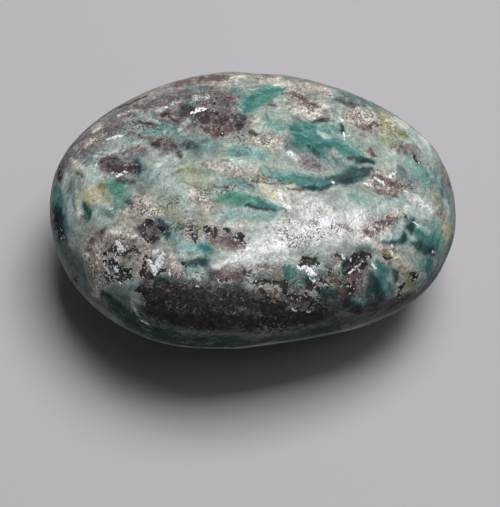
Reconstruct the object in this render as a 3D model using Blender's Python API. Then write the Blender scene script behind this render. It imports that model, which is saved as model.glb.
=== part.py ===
# Tumbled and polished stone of green fuchsite with kyanite, one solid.
# Metres, +Z up, long axis along +X, resting on a small flat spot at z = 0.

import math

import bmesh
import bpy
import numpy as np
from mathutils import Matrix, Vector, noise

MM = 0.001

# Overall form before the tumbling wore it: half sizes in millimetres.
HALF_LENGTH = 18.2
HALF_WIDTH = 13.0
HALF_HEIGHT = 7.7
# Fullness of the side profile: 2 is an egg, higher is squarer.
PROFILE_FULLNESS = 2.3

# Tumbling wore broad, nearly flat faces into that form.
# Each one: azimuth (0 faces -Y, 90 faces +X), elevation above the table, reach from the middle.
WORN_FACES = {
    "front belly": (2, -16, 11.0),
    "front left belly": (-25, -14, 13.9),
    "lower left": (-55, -12, 15.6),
    "left end": (-95, -6, 17.5),
    "back left corner": (-135, 10, 16.1),
    "back left slope": (-165, 18, 13.1),
    "back slope": (165, 22, 11.7),
    "back right slope": (145, 20, 12.0),
    "right shoulder": (120, 18, 17.0),
    "right end": (90, 10, 16.9),
    "front right corner": (60, 0, 16.5),
    "front right belly": (30, -10, 15.0),
    "front shoulder": (20, 42, 11.5),
    "broad upper left face": (-140, 64, 9.8),
    "upper right face": (50, 62, 10.4),
    "upper left end": (-80, 40, 14.7),
    "upper right end": (100, 40, 14.7),
    "underside, back": (180, -45, 10.8),
    "underside, right": (90, -45, 14.1),
    "underside, left": (-110, -50, 12.9),
    "underside, front": (-20, -62, 9.6),
    "underside, flat at the back": (170, -68, 8.8),
}
# How sharply one worn face turns into the next: higher is crisper.
EDGE_CRISPNESS = 12.0

# Height of the middle of the stone above the flat spot it rests on.
FOOT_DEPTH = 7.4

# Shallow hollows where soft mica wore faster than the kyanite.
# Each one: azimuth and elevation from the middle, half length, half width, turn of the long
# direction counter-clockwise from +X, depth. Millimetres and degrees.
HOLLOWS = {
    "black mica, lowest patch": (-63, 17, 1.8, 1.2, 10, 0.36),
    "black mica, upper pair": (-67, 22, 1.8, 1.0, -10, 0.30),
    "bright flake bed": (-56, 24, 0.9, 1.3, 20, 0.30),
    "black mica, round patch": (-67, 30, 1.3, 1.2, 0, 0.26),
    "brown mica pits": (-47, 39, 2.8, 1.1, -8, 0.24),
    "dark slot in the front": (8, 36, 1.4, 0.9, -5, 0.38),
    "scaly hollow in the front right": (29, 25, 2.2, 1.5, 30, 0.28),
    "step beside the green block": (42, 9, 0.9, 2.2, -15, 0.36),
    "groove under the long blade": (64, 53, 2.9, 0.9, 8, 0.32),
    "reddish scaly patch": (50, 32, 2.0, 1.0, 30, 0.20),
    "mica patch on the right": (74, 37, 2.0, 1.3, -20, 0.20),
    "chip low on the left end": (-74, -1, 0.9, 1.7, 80, 0.36),
    "broken edge in the lower front": (-50, 6, 1.6, 0.8, -30, 0.30),
    "dark mica on the upper left": (-100, 27, 2.0, 1.2, 15, 0.26),
    "rusty pits on the upper left": (-131, 57, 2.5, 1.1, 5, 0.24),
    "dark patch near the back rim": (-160, 56, 2.0, 1.0, 20, 0.22),
    "hollow in the back slope": (172, 24, 2.6, 1.3, -10, 0.30),
    "hollow in the back right": (136, 8, 2.3, 1.4, 20, 0.32),
    "hollow in the back left": (-140, -8, 2.2, 1.4, -30, 0.30),
    "hollow under the right end": (98, -24, 2.2, 1.3, 60, 0.30),
    "hollow under the back": (178, -34, 2.6, 1.4, 10, 0.32),
    "hollow under the front": (12, -50, 2.4, 1.4, -20, 0.30),
}

# Low swells where hard blades stand proud. Same kinds of numbers, with a height.
SWELLS = {
    "long blade on top": (96, 62, 4.4, 1.0, 4, 0.18),
    "blade left of the middle": (-35, 59, 3.4, 0.9, -4, 0.13),
    "fan of blades": (120, 68, 2.8, 1.8, -40, 0.16),
    "crest along the front": (4, 45, 7.0, 1.3, 6, 0.15),
    "knob at the right end": (94, 18, 2.4, 2.0, 80, 0.18),
    "green block": (52, 15, 2.2, 2.0, 0, 0.16),
    "rib on the left end": (-90, 6, 1.1, 3.2, 0, 0.16),
    "rib along the back": (168, 6, 5.0, 1.2, 3, 0.16),
    "rib under the front": (-14, -34, 5.0, 1.2, 4, 0.16),
    "rib under the back right": (130, -40, 3.6, 1.2, 40, 0.16),
}

# Gentle waviness left by the tumbling: height of the broad and the finer waves, and their lengths.
BROAD_WAVE_HEIGHT = 0.07
BROAD_WAVE_LENGTH = 5.5
FINE_WAVE_HEIGHT = 0.035
FINE_WAVE_LENGTH = 2.4

# Squares along each edge of the starting cube; sets the facet size (about 0.8 mm).
SQUARES_PER_EDGE = 28
# Corners on the flat spot's rim closer than this are joined, in metres.
RIM_JOIN = 0.00006
# Turn in radians over which the slope of the worn surface is measured.
SLOPE_STEP = 0.02

STONE_COLOUR = (0.16, 0.26, 0.22, 1.0)
STONE_ROUGHNESS = 0.28


def facing(azimuth, elevation):
    """Unit direction from an azimuth and an elevation in degrees."""
    az = math.radians(azimuth)
    el = math.radians(elevation)
    return Vector((math.cos(el) * math.sin(az), -math.cos(el) * math.cos(az), math.sin(el)))


WORN = [(facing(az, el), reach) for az, el, reach in WORN_FACES.values()]


def worn_radius(direction):
    """Distance from the middle to the worn surface, in millimetres."""
    plan = math.hypot(direction.x / HALF_LENGTH, direction.y / HALF_WIDTH)
    rise = abs(direction.z) / HALF_HEIGHT
    full = (plan**PROFILE_FULLNESS + rise**PROFILE_FULLNESS) ** (1.0 / PROFILE_FULLNESS)
    total = full**EDGE_CRISPNESS
    for normal, reach in WORN:
        total += (max(0.0, direction.dot(normal)) / reach) ** EDGE_CRISPNESS
    return total ** (-1.0 / EDGE_CRISPNESS)


def worn_point(direction):
    """Point of the worn surface that lies in a direction from the middle."""
    unit = direction.normalized()
    return unit * worn_radius(unit)


def outward(direction):
    """Outward direction of the worn surface, from its slope over a small step each way."""
    side = direction.orthogonal().normalized() * SLOPE_STEP
    other = direction.cross(side)
    along = worn_point(direction + side) - worn_point(direction - side)
    across = worn_point(direction + other) - worn_point(direction - other)
    normal = along.cross(across).normalized()
    return normal if normal.dot(direction) > 0 else -normal


def local_features(table, sign):
    """Middle, long direction, cross direction, half sizes and signed height of each feature."""
    features = []
    for az, el, half_long, half_cross, turn, height in table.values():
        normal = outward(facing(az, el))
        level_x = Vector((0, 1, 0)).cross(normal)
        level_x.normalize()
        long_way = Matrix.Rotation(math.radians(turn), 3, normal) @ level_x
        cross_way = normal.cross(long_way)
        middle = worn_point(facing(az, el))
        features.append((middle, long_way, cross_way, half_long, half_cross, sign * height))
    return features


FEATURES = local_features(HOLLOWS, -1.0) + local_features(SWELLS, 1.0)


def relief(point):
    """Height of hollows, swells and waviness at a point of the worn surface, in millimetres."""
    height = BROAD_WAVE_HEIGHT * noise.noise(point / BROAD_WAVE_LENGTH)
    height += FINE_WAVE_HEIGHT * noise.noise(-point / FINE_WAVE_LENGTH)
    for middle, long_way, cross_way, half_long, half_cross, lift in FEATURES:
        gap = point - middle
        away = math.hypot(gap.dot(long_way) / half_long, gap.dot(cross_way) / half_cross)
        if away < 1.0 and gap.length < 2.0 * max(half_long, half_cross):
            inner = 1.0 - away
            height += lift * inner * inner * (3.0 - 2.0 * inner)
    return height


def clear_scene():
    for thing in list(bpy.data.objects):
        bpy.data.objects.remove(thing, do_unlink=True)


def pebble():
    """The worn, dimpled pebble around the middle of the stone, in metres."""
    bm = bmesh.new()
    bmesh.ops.create_cube(bm, size=2.0)
    bmesh.ops.subdivide_edges(bm, edges=bm.edges[:], cuts=SQUARES_PER_EDGE - 1, use_grid_fill=True)
    for vertex in bm.verts:
        # Tangent spacing keeps the squares nearly even once they are on a ball.
        direction = Vector([math.tan(value * math.pi / 4.0) for value in vertex.co]).normalized()
        surface = worn_point(direction)
        vertex.co = (surface + outward(direction) * relief(surface)) * MM
    return bm


def cut_flat_spot(bm):
    """Cut the underside straight across and close it again with one flat face."""
    bmesh.ops.bisect_plane(
        bm,
        geom=bm.verts[:] + bm.edges[:] + bm.faces[:],
        plane_co=(0.0, 0.0, -FOOT_DEPTH * MM),
        plane_no=(0.0, 0.0, -1.0),
        clear_outer=True,
    )
    rim_corners = {corner for edge in bm.edges if edge.is_boundary for corner in edge.verts}
    bmesh.ops.remove_doubles(bm, verts=list(rim_corners), dist=RIM_JOIN)
    bmesh.ops.contextual_create(bm, geom=[edge for edge in bm.edges if edge.is_boundary])
    bmesh.ops.triangulate(bm, faces=bm.faces[:])
    bmesh.ops.recalc_face_normals(bm, faces=bm.faces[:])


def set_on_table(bm):
    """Put the middle of the footprint on the Z axis and the flat spot at z = 0."""
    xs = [vertex.co.x for vertex in bm.verts]
    ys = [vertex.co.y for vertex in bm.verts]
    shift = Vector((-(min(xs) + max(xs)) / 2.0, -(min(ys) + max(ys)) / 2.0, FOOT_DEPTH * MM))
    bmesh.ops.translate(bm, vec=shift, verts=bm.verts[:])


def stone_material():
    material = bpy.data.materials.new("fuchsite_kyanite_stone")
    material.use_nodes = True
    shader = material.node_tree.nodes["Principled BSDF"]
    shader.inputs["Base Color"].default_value = STONE_COLOUR
    shader.inputs["Roughness"].default_value = STONE_ROUGHNESS
    shader.inputs["Metallic"].default_value = 0.0
    return material


def make_stone():
    bm = pebble()
    cut_flat_spot(bm)
    set_on_table(bm)
    for face in bm.faces:
        face.smooth = True
    mesh = bpy.data.meshes.new("polished_stone")
    bm.to_mesh(mesh)
    bm.free()
    mesh.materials.append(stone_material())
    stone = bpy.data.objects.new("polished_stone", mesh)
    bpy.context.scene.collection.objects.link(stone)
    return stone


clear_scene()
polished_stone = make_stone()
size_mm = np.array(polished_stone.dimensions) / MM
print("size in mm", np.round(size_mm, 1), "triangles", len(polished_stone.data.polygons))
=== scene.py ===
# %% [markdown]
# # A polished stone of fuchsite with kyanite
#
# The real stone is a tumbled pebble, about 32 mm long. Pale green fuchsite mica is its ground,
# teal blades of kyanite run through it, and dark brown mica, rust and cream mica fill the rest.
# This lesson keeps the measured solid as the form, gives it a fine skin with pits and ledges,
# lays the minerals out as named strokes, and colours them with nodes.

# %% Load the measured stone
import math

import bmesh
import bpy
import numpy as np
from mathutils import Matrix, Vector, noise
from mathutils.bvhtree import BVHTree
from mathutils.kdtree import KDTree


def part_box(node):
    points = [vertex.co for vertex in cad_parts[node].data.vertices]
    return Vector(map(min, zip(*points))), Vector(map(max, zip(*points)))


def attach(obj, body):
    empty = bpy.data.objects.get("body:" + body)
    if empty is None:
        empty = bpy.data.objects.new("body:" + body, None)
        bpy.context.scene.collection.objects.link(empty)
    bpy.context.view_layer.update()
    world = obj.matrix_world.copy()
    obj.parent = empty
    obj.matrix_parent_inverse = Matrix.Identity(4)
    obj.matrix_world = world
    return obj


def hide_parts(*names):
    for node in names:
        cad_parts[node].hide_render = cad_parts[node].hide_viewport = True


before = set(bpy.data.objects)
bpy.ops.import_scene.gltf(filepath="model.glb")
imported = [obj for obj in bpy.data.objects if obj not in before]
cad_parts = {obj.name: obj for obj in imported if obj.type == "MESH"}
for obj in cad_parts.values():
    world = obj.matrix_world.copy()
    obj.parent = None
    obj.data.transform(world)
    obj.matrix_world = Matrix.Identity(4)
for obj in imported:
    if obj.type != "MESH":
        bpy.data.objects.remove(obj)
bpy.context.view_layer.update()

MM = 0.001
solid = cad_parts["polished_stone"]
low_corner, high_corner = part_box("polished_stone")
print("stone in mm", [round(side / MM, 1) for side in high_corner - low_corner])

# %% [markdown]
# ## The camera
#
# The picture looks down on the stone from its front left, with the camera slightly rolled.
# A long lens a hand's breadth away keeps the outline almost free of perspective. The camera comes
# first, because the strokes below are placed by the pixels of the picture.

# %% Place the camera
PICTURE_SIZE = (500, 507)
SENSOR = 36.0
LENS = 120.14
NEAREST_SEEN = 0.01
AIM = Vector((-1.33, -4.11, 7.4)) * MM
DISTANCE = 131.65 * MM
VIEW_AZIMUTH = math.radians(-26.384)
VIEW_ELEVATION = math.radians(59.459)
ROLL = math.radians(16.237)

towards_camera = Vector((
    math.cos(VIEW_ELEVATION) * math.sin(VIEW_AZIMUTH),
    -math.cos(VIEW_ELEVATION) * math.cos(VIEW_AZIMUTH),
    math.sin(VIEW_ELEVATION),
))
eye = AIM + towards_camera * DISTANCE
level_turn = (-towards_camera).to_track_quat("-Z", "Y").to_matrix()
view_turn = level_turn @ Matrix.Rotation(ROLL, 3, "Z")

camera_data = bpy.data.cameras.new("camera")
camera_data.sensor_width = SENSOR
camera_data.lens = LENS
camera_data.clip_start = NEAREST_SEEN
camera = bpy.data.objects.new("camera", camera_data)
camera.matrix_world = Matrix.Translation(eye) @ view_turn.to_4x4()
bpy.context.scene.collection.objects.link(camera)
bpy.context.scene.camera = camera
print("camera at mm", [round(value / MM, 1) for value in eye])

# %% Turn points into pixels
FOCAL_PIXELS = LENS / SENSOR * max(PICTURE_SIZE)
view_axes = np.array(view_turn)


def pixels_of(points):
    """Pixel places, x right and y down, of an array of points."""
    seen = (points - np.array(eye)) @ view_axes
    across = PICTURE_SIZE[0] / 2 + FOCAL_PIXELS * seen[:, 0] / -seen[:, 2]
    down = PICTURE_SIZE[1] / 2 - FOCAL_PIXELS * seen[:, 1] / -seen[:, 2]
    return np.column_stack([across, down])


print("the camera aims at pixel", pixels_of(np.array([AIM]))[0].round(1))

# %% [markdown]
# ## The skin
#
# The measured solid is made of flat facets about 0.7 mm wide, which a polished surface would show.
# A finer ball of squares is pushed out onto it from the middle and then smoothed until the facets
# melt away. A cube cut into squares and blown up to a ball has no poles, so its squares stay even.

# %% Wrap a fine ball onto the solid
SKIN_SQUARES = 127
CUBE_SIDE = 2.0
EIGHTH_TURN = math.pi / 4
MERGE_GAP = 0.00001
MELT_ROUNDS = 14
MELT_SHARE = 0.5
MIDDLE = Vector((0.0, 0.0, 7.4)) * MM

form = bmesh.new()
form.from_mesh(solid.data)
bmesh.ops.remove_doubles(form, verts=form.verts[:], dist=MERGE_GAP)
form_tree = BVHTree.FromBMesh(form)

skin = bmesh.new()
bmesh.ops.create_cube(skin, size=CUBE_SIDE)
bmesh.ops.subdivide_edges(skin, edges=skin.edges[:], cuts=SKIN_SQUARES - 1, use_grid_fill=True)
for corner in skin.verts:
    even = Vector([math.tan(value * EIGHTH_TURN) for value in corner.co]).normalized()
    corner.co = form_tree.ray_cast(MIDDLE, even)[0]
print("longest edge in mm", round(max(edge.calc_length() for edge in skin.edges) / MM, 2))

# %% Melt the facets and keep the mesh
for _ in range(MELT_ROUNDS):
    bmesh.ops.smooth_vert(
        skin,
        verts=skin.verts[:],
        factor=MELT_SHARE,
        use_axis_x=True,
        use_axis_y=True,
        use_axis_z=True,
    )
form.free()
skin.normal_update()
skin_mesh = bpy.data.meshes.new("stone_skin")
skin.to_mesh(skin_mesh)
skin.free()
print("skin corners", len(skin_mesh.vertices), "triangles", 2 * len(skin_mesh.polygons))

# %% [markdown]
# ## The minerals as strokes
#
# The markings of the real stone are grains of a few minerals, each with its own place and drift.
# They could be left to noise alone, but then no grain would lie where it lies on this stone. So each
# grain that shows is a short named stroke: points (x, y, half width) in pixels of the picture, joined
# by a line that widens and narrows. Broad washes come first, then blades, then specks, as a painter
# would lay them.

# %% Lay the crest sheen wash: pale mica, lightened as a painted sheen along the crest
CREST_SHEEN_WASH = {
    "crest, left point": [(214, 268, 3), (232, 262, 6), (250, 254, 9)],
    "crest, left": [(246, 256, 8), (266, 248, 13), (284, 240, 17)],
    "crest, middle": [(284, 238, 19), (304, 230, 21), (322, 226, 19)],
    "crest, right": [(326, 230, 16), (346, 226, 14), (366, 218, 10)],
    "above the wedge": [(302, 206, 6), (316, 206, 7), (328, 208, 5)],
    "crest, right end": [(352, 238, 7), (366, 236, 6), (380, 228, 5)],
    "right glare": [(410, 199, 4), (421, 204, 5), (431, 209, 4)],
    "crest, underside": [(256, 262, 5), (272, 262, 7), (288, 260, 6)],
}
print("strokes in the crest sheen wash", len(CREST_SHEEN_WASH))

# %% Lay the seafoam wash of the pale green ground
SEAFOAM_WASH = {
    "upper left": [(100, 152, 7), (120, 144, 8), (142, 140, 8)],
    "left of the middle": [(156, 176, 12), (176, 168, 14), (196, 180, 12)],
    "middle": [(190, 200, 12), (210, 176, 12), (236, 168, 10), (256, 160, 8)],
    "right of the middle": [(352, 198, 10), (368, 206, 12), (390, 206, 10)],
    "upper right": [(326, 104, 10), (336, 116, 12), (344, 134, 10)],
    "right rim": [(402, 128, 8), (418, 142, 10), (428, 154, 7)],
    "upright fibres": [(394, 150, 8), (394, 164, 9)],
    "top right of the blade": [(286, 104, 6), (276, 120, 8), (262, 132, 8)],
    "middle, low": [(190, 216, 8), (206, 222, 8), (228, 222, 8)],
}
print("strokes in the seafoam wash", len(SEAFOAM_WASH))

# %% Lay the beige wash of the grainy fields
BEIGE_WASH = {
    "rim, upper left": [(136, 102, 4), (160, 90, 5), (184, 82, 5)],
    "rim, top": [(196, 79, 3), (220, 75, 3), (250, 75, 4), (276, 79, 5)],
    "rim, upper right": [(290, 84, 5), (320, 90, 5), (346, 99, 5), (366, 108, 4)],
    "low left": [(92, 242, 10), (98, 262, 12), (104, 284, 12), (98, 300, 8)],
    "low left, inner": [(112, 252, 12), (130, 240, 14), (148, 248, 10), (142, 266, 10)],
    "left middle": [(124, 214, 12), (142, 206, 12), (160, 212, 10), (138, 224, 10)],
    "upper right": [(286, 96, 8), (304, 102, 14), (322, 112, 10)],
    "upper right, ring": [(254, 140, 7), (270, 142, 8), (284, 142, 6)],
    "right rim": [(352, 116, 11), (370, 120, 12), (388, 126, 8)],
    "right": [(374, 180, 9), (390, 186, 10), (404, 190, 5)],
    "right, lower": [(364, 234, 8), (380, 226, 9), (396, 216, 6)],
    "front right": [(384, 248, 6), (392, 256, 7), (404, 272, 6)],
    "front middle": [(172, 258, 10), (178, 272, 8)],
    "middle line": [(184, 230, 12), (206, 230, 12), (232, 240, 12)],
    "middle": [(196, 196, 8), (206, 208, 7)],
    "pink under the blades": [(212, 164, 5), (240, 172, 8), (256, 176, 6)],
    "low middle": [(256, 268, 7), (272, 276, 8), (296, 290, 8), (320, 286, 6)],
    "top rim": [(206, 84, 8), (232, 80, 7), (226, 130, 8), (206, 130, 6)],
}
print("strokes in the beige wash", len(BEIGE_WASH))

# %% Lay the mauve wash of the fields with dark mica
MAUVE_WASH = {
    "upper left, haze": [(102, 157, 5), (122, 151, 6), (142, 149, 5)],
    "upper left rim": [
        (58, 176, 6), (63, 162, 8), (76, 148, 10), (94, 136, 10), (116, 122, 8), (136, 108, 7)
    ],
    "top": [(150, 106, 7), (176, 100, 9), (206, 98, 9), (236, 100, 8)],
    "top, below": [(164, 118, 10), (190, 118, 12), (218, 116, 12), (240, 120, 11)],
    "swirl": [(107, 168, 6), (118, 167, 9), (132, 166, 7)],
    "middle left": [(158, 144, 7), (174, 148, 6)],
    "right end rim": [(444, 166, 5), (450, 184, 4)],
    "left of the crest": [(218, 238, 8), (236, 240, 8)],
    "under the crest": [(224, 273, 6), (240, 274, 7)],
    "front right pits": [(346, 270, 10), (358, 264, 11), (350, 286, 11)],
    "lower front": [(262, 292, 8), (280, 298, 8), (300, 298, 8)],
    "upper right rim": [(396, 146, 5), (414, 152, 6)],
    "under the fan": [(306, 162, 6), (318, 166, 5)],
}
print("strokes in the mauve wash", len(MAUVE_WASH))

# %% Lay the steel wash of the blue grey fields
STEEL_WASH = {
    "grain under the rim": [(184, 140, 6), (198, 147, 10), (212, 146, 8)],
    "left, by the swirl": [(136, 158, 5), (142, 172, 8), (152, 176, 7), (136, 184, 6)],
    "left, upper rim": [(82, 157, 5), (94, 154, 6)],
    "left end": [(68, 186, 7), (72, 202, 9), (72, 218, 8)],
    "upper rim": [(190, 92, 6), (200, 90, 5), (214, 93, 5)],
    "upper right rim": [(338, 96, 6), (360, 98, 7), (380, 106, 5)],
    "under the fan": [(328, 160, 7), (346, 164, 7)],
    "fan, left": [(288, 144, 5), (296, 152, 7)],
    "right": [(404, 172, 9), (420, 178, 11), (434, 176, 9)],
    "right rim": [(438, 180, 8), (444, 196, 7), (451, 210, 5)],
    "knob": [(404, 226, 11), (424, 232, 14), (438, 242, 10)],
    "right low": [(430, 256, 8), (430, 268, 8), (424, 280, 6)],
    "front right": [(354, 248, 4), (364, 249, 5)],
    "low left": [(114, 290, 7), (124, 298, 8), (132, 288, 5)],
    "front, left": [(180, 256, 8), (200, 254, 10), (212, 266, 5)],
    "low middle": [(256, 274, 5), (274, 277, 5)],
    "front, right": [(336, 262, 7), (328, 270, 6)],
    "left of the middle": [(156, 222, 6), (170, 228, 8), (182, 246, 8)],
    "top middle": [(176, 138, 7), (196, 144, 9), (212, 144, 6)],
}
print("strokes in the steel wash", len(STEEL_WASH))

# %% Lay the slate wash: dark grey-green grains, and painted shade on the rims and the front
SLATE_AND_RIM_SHADE_WASH = {
    "grain under the rim": [(184, 143, 4), (192, 147, 5), (200, 148, 4)],
    "left facet": [(60, 236, 6), (67, 250, 8), (74, 266, 8), (81, 284, 6), (89, 298, 5)],
    "far left edge": [(55, 206, 4), (57, 224, 6), (62, 242, 6)],
    "low left rim": [(98, 300, 8), (112, 310, 10), (128, 318, 11), (146, 326, 10)],
    "front, above the dark": [
        (148, 283, 7), (170, 284, 7), (196, 285, 6), (222, 287, 6), (244, 290, 5)
    ],
    "front right": [(340, 300, 10), (360, 302, 12), (380, 292, 10)],
    "right rim": [(453, 238, 3), (450, 252, 4), (443, 270, 4), (431, 285, 5), (414, 297, 5)],
    "green block": [(286, 270, 6), (296, 280, 10), (318, 276, 8)],
}
print("strokes in the slate and rim shade wash", len(SLATE_AND_RIM_SHADE_WASH))

# %% Lay the front wash: dark mica, with painted shade on the nearly black front
FRONT_MICA_AND_SHADE_WASH = {
    "front, upper": [(150, 294, 9), (176, 296, 11), (206, 298, 12), (232, 304, 12)],
    "front, lower": [(150, 310, 9), (176, 318, 13), (210, 320, 15), (250, 320, 15)],
    "front, right": [(252, 302, 9), (276, 310, 12), (300, 316, 14), (330, 312, 12)],
    "belly": [
        (140, 330, 8), (170, 340, 10), (210, 346, 12), (260, 346, 12), (310, 338, 12), (346, 326, 12)
    ],
    "belly, right": [(340, 322, 10), (368, 314, 10), (392, 306, 9), (412, 298, 6)],
    "under the blobs": [(148, 280, 5), (160, 282, 5)],
}
print("strokes in the front mica and shade wash", len(FRONT_MICA_AND_SHADE_WASH))

# %% Lay the olive wash of the stained spots
OLIVE_WASH = {
    "middle left": [(182, 170, 7), (196, 176, 8), (204, 186, 6)],
    "grain by the cream line": [(84, 194, 4), (89, 199, 7)],
    "right rim": [(383, 122, 4), (390, 137, 5), (403, 134, 4)],
    "left rim": [(90, 290, 6), (98, 302, 7), (106, 310, 5)],
    "front right": [(402, 270, 6), (412, 280, 7)],
    "low front": [(274, 284, 6), (290, 290, 5)],
    "right end": [(446, 226, 4), (448, 236, 4)],
    "middle": [(174, 214, 5), (178, 222, 6)],
}
print("strokes in the olive wash", len(OLIVE_WASH))

# %% [markdown]
# ## Kyanite blades
#
# Kyanite grows as long flat blades that split lengthwise. The polish cuts them at a slant, so each
# shows as a slim leaf with a lit side and a shaded edge. One wide stroke in one colour would look
# like a brush mark. So a leaf is a teal stroke, a paler haze where it thins out under the mica, a
# lighter stroke of painted light where light comes through, and a narrow dark stroke of deep teal
# and painted shade along its edge.

# %% Draw the teal blades
TEAL = {
    "curved blade under the top rim": [
        (246, 110, 4), (252, 104, 7), (262, 98, 7), (274, 92, 5), (285, 89, 2)
    ],
    "fan, left leaf": [(294, 130, 5), (303, 138, 9), (313, 146, 10), (320, 155, 6)],
    "fan, middle leaf": [(306, 126, 4), (318, 134, 6), (328, 144, 6)],
    "fan, right leaf": [(332, 143, 5), (346, 151, 5), (361, 158, 4)],
    "long blade": [
        (283, 178, 5), (300, 181, 6), (316, 184, 6), (330, 182, 5), (342, 176, 5), (356, 168, 3)
    ],
    "lower blade": [(240, 199, 4), (250, 201, 5), (260, 204, 5), (272, 208, 4), (286, 210, 1)],
    "grain left of the middle": [(164, 226, 3), (166, 234, 4)],
    "stripe on the left end": [(57, 188, 3), (60, 198, 4), (58, 206, 3)],
    "stripe low on the left end": [(67, 217, 3), (70, 226, 5), (74, 233, 3)],
    "green block in the front": [(288, 270, 5), (293, 278, 7), (299, 285, 5)],
    "grain right of the pits": [(378, 263, 3), (384, 270, 5), (382, 280, 5)],
    "flake low on the right": [(388, 284, 3), (391, 290, 4)],
    "knob": [(416, 230, 5), (426, 235, 8), (433, 242, 8), (434, 250, 5)],
    "rim under the knob": [(430, 262, 4), (428, 272, 4)],
    "small green in the dark front": [(222, 284, 2), (226, 286, 2)],
    "green over the dark lens": [(202, 245, 3), (210, 250, 4)],
}
print("strokes in the teal blades", len(TEAL))

# %% Draw the pale haze of the blades
PALE_TEAL = {
    "haze on the curved blade": [(240, 108, 5), (250, 96, 5), (268, 88, 4), (282, 92, 4)],
    "haze left of the blade": [(230, 90, 3), (236, 90, 3), (242, 93, 3)],
    "haze above the lower blade": [(225, 185, 4), (240, 184, 5), (256, 184, 4)],
    "haze under the lower blade": [(232, 212, 4), (250, 215, 4), (266, 217, 4), (276, 214, 2)],
    "haze left of the fan": [(234, 152, 6), (248, 152, 7), (264, 156, 5)],
    "haze around the fan": [(292, 128, 5), (306, 124, 6), (322, 128, 7), (338, 130, 6)],
    "fan, right leaf, pale side": [(322, 131, 5), (334, 138, 7), (348, 146, 6), (358, 152, 4)],
    "long blade, pale end": [(262, 172, 3), (274, 175, 5), (290, 178, 5)],
    "haze on the left": [(116, 180, 7), (124, 204, 6), (104, 214, 7)],
    "haze in the middle": [(174, 232, 7), (190, 247, 8), (206, 250, 7)],
    "haze by the rim on the right": [(410, 162, 5), (420, 172, 6), (428, 182, 6)],
    "left end": [(60, 216, 4), (64, 200, 5)],
    "strands above the fan": [(268, 122, 5), (282, 128, 5)],
    "front, right": [(345, 268, 4), (340, 275, 4)],
    "lower right block": [(352, 306, 5), (364, 304, 5)],
    "knob, edge": [(434, 224, 4), (441, 234, 4), (440, 246, 4)],
    "knob, streak": [(424, 232, 2), (430, 240, 2), (436, 248, 2)],
    "middle, small": [(224, 215, 3), (233, 217, 3)],
    "right of the mica": [(388, 200, 5), (404, 204, 5)],
    "front right": [(374, 266, 3), (384, 290, 5), (393, 294, 4)],
    "pale strip in the front": [(186, 268, 3), (196, 270, 3)],
    "upper left": [(148, 132, 4), (160, 132, 4)],
    "grain under the rim": [(202, 148, 4), (210, 146, 4)],
    "top, green grain": [(156, 124, 4), (166, 128, 5), (174, 130, 4)],
    "top, green grain on the rim": [(186, 106, 3), (194, 103, 3)],
    "right crest": [(352, 196, 4), (366, 202, 5)],
    "right low": [(424, 262, 4), (424, 274, 4)],
}
print("strokes in the pale haze", len(PALE_TEAL))

# %% Draw the emerald grains, and painted light where light comes through the blades
EMERALD_AND_LIT_TEAL = {
    "grain on the left": [(112, 186, 6), (118, 191, 9), (124, 196, 7)],
    "lower blade, broad end": [(220, 199, 4), (230, 199, 6), (242, 199, 6.6), (252, 201, 5)],
    "curved blade, middle": [(256, 103, 4), (266, 98, 4), (276, 94, 3)],
    "green block, lit side": [(291, 273, 3), (297, 280, 4)],
    "long blade, pale half": [(284, 178, 3), (296, 180, 4)],
    "middle, small": [(180, 226, 2), (184, 224, 2)],
}
print("strokes in the lit parts", len(EMERALD_AND_LIT_TEAL))

# %% Draw the deep teal, and painted shade on the blades' edges, the belly rim and the front
DEEP_TEAL_AND_SHADE = {
    "long blade, dark end": [(339, 180, 4), (350, 177, 6), (360, 174, 6), (371, 170, 3)],
    "long blade, shaded edge": [(298, 187, 2), (314, 189, 3), (330, 186, 2)],
    "fan, shaded root": [(350, 157, 2.4), (362, 160, 3), (373, 162, 2)],
    "fan, notch": [(340, 124, 1.4), (342, 130, 1.8), (345, 134, 1.4)],
    "fan, dark leaf edge": [(309, 146, 1.6), (316, 153, 2.2), (319, 158, 2)],
    "lower blade, shaded edge": [(246, 206, 2), (260, 209, 2), (276, 210, 1)],
    "lens in the front": [(188, 264, 3), (196, 263, 5), (204, 261, 5), (209, 259, 2)],
    "knob, left edge": [(401, 242, 2.6), (406, 235, 3.4), (411, 226, 3.4), (413, 219, 2)],
    "knob, lower left": [(416, 243, 5), (423, 249, 6), (432, 251, 4)],
    "knob, tongue": [(384, 242, 2), (392, 240, 4), (400, 238, 4)],
    "grain low on the right": [(371, 273, 3), (374, 286, 6), (381, 296, 5)],
    "dark lump low on the right": [(395, 272, 4), (397, 280, 4)],
    "block low in the front": [(346, 303, 4), (358, 308, 5)],
    "streak on the left end": [(84, 205, 3), (89, 213, 5), (88, 219, 3)],
    "edge on the left end": [(58, 208, 3), (60, 220, 4), (62, 234, 4)],
    "streak by the beige patch": [(160, 219, 3), (165, 227, 4), (167, 236, 3)],
    "left rim of the belly": [(104, 294, 4), (112, 304, 5), (122, 313, 6), (136, 318, 6)],
    "belly rim": [(128, 322, 6), (150, 332, 7), (180, 340, 7), (220, 344, 7)],
    "belly rim, right": [(220, 344, 6), (262, 344, 6), (300, 338, 6), (336, 328, 6)],
    "front, under the green block": [(306, 276, 3), (310, 284, 3)],
    "front, right of the black slot": [(346, 264, 4), (344, 272, 3)],
    "front, above the brown band": [(158, 282, 6), (168, 284, 5)],
    "front, low": [(240, 292, 5), (248, 296, 4)],
    "front, lower middle": [(324, 294, 6), (336, 292, 5)],
    "green, left grain edge": [(126, 201, 2.4), (131, 203, 2)],
    "swirl, right edge": [(136, 162, 3), (137, 172, 4)],
}
print("strokes in the shaded edges", len(DEEP_TEAL_AND_SHADE))

# %% [markdown]
# ## Pale grains
#
# Between the sheaves lie frayed tips of fuchsite, flakes of cream mica, and stains of straw and
# olive. They could be one pale noise, but on this stone they gather in lines beside the blades.
# They are small, so two or three points are enough for most.

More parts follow.
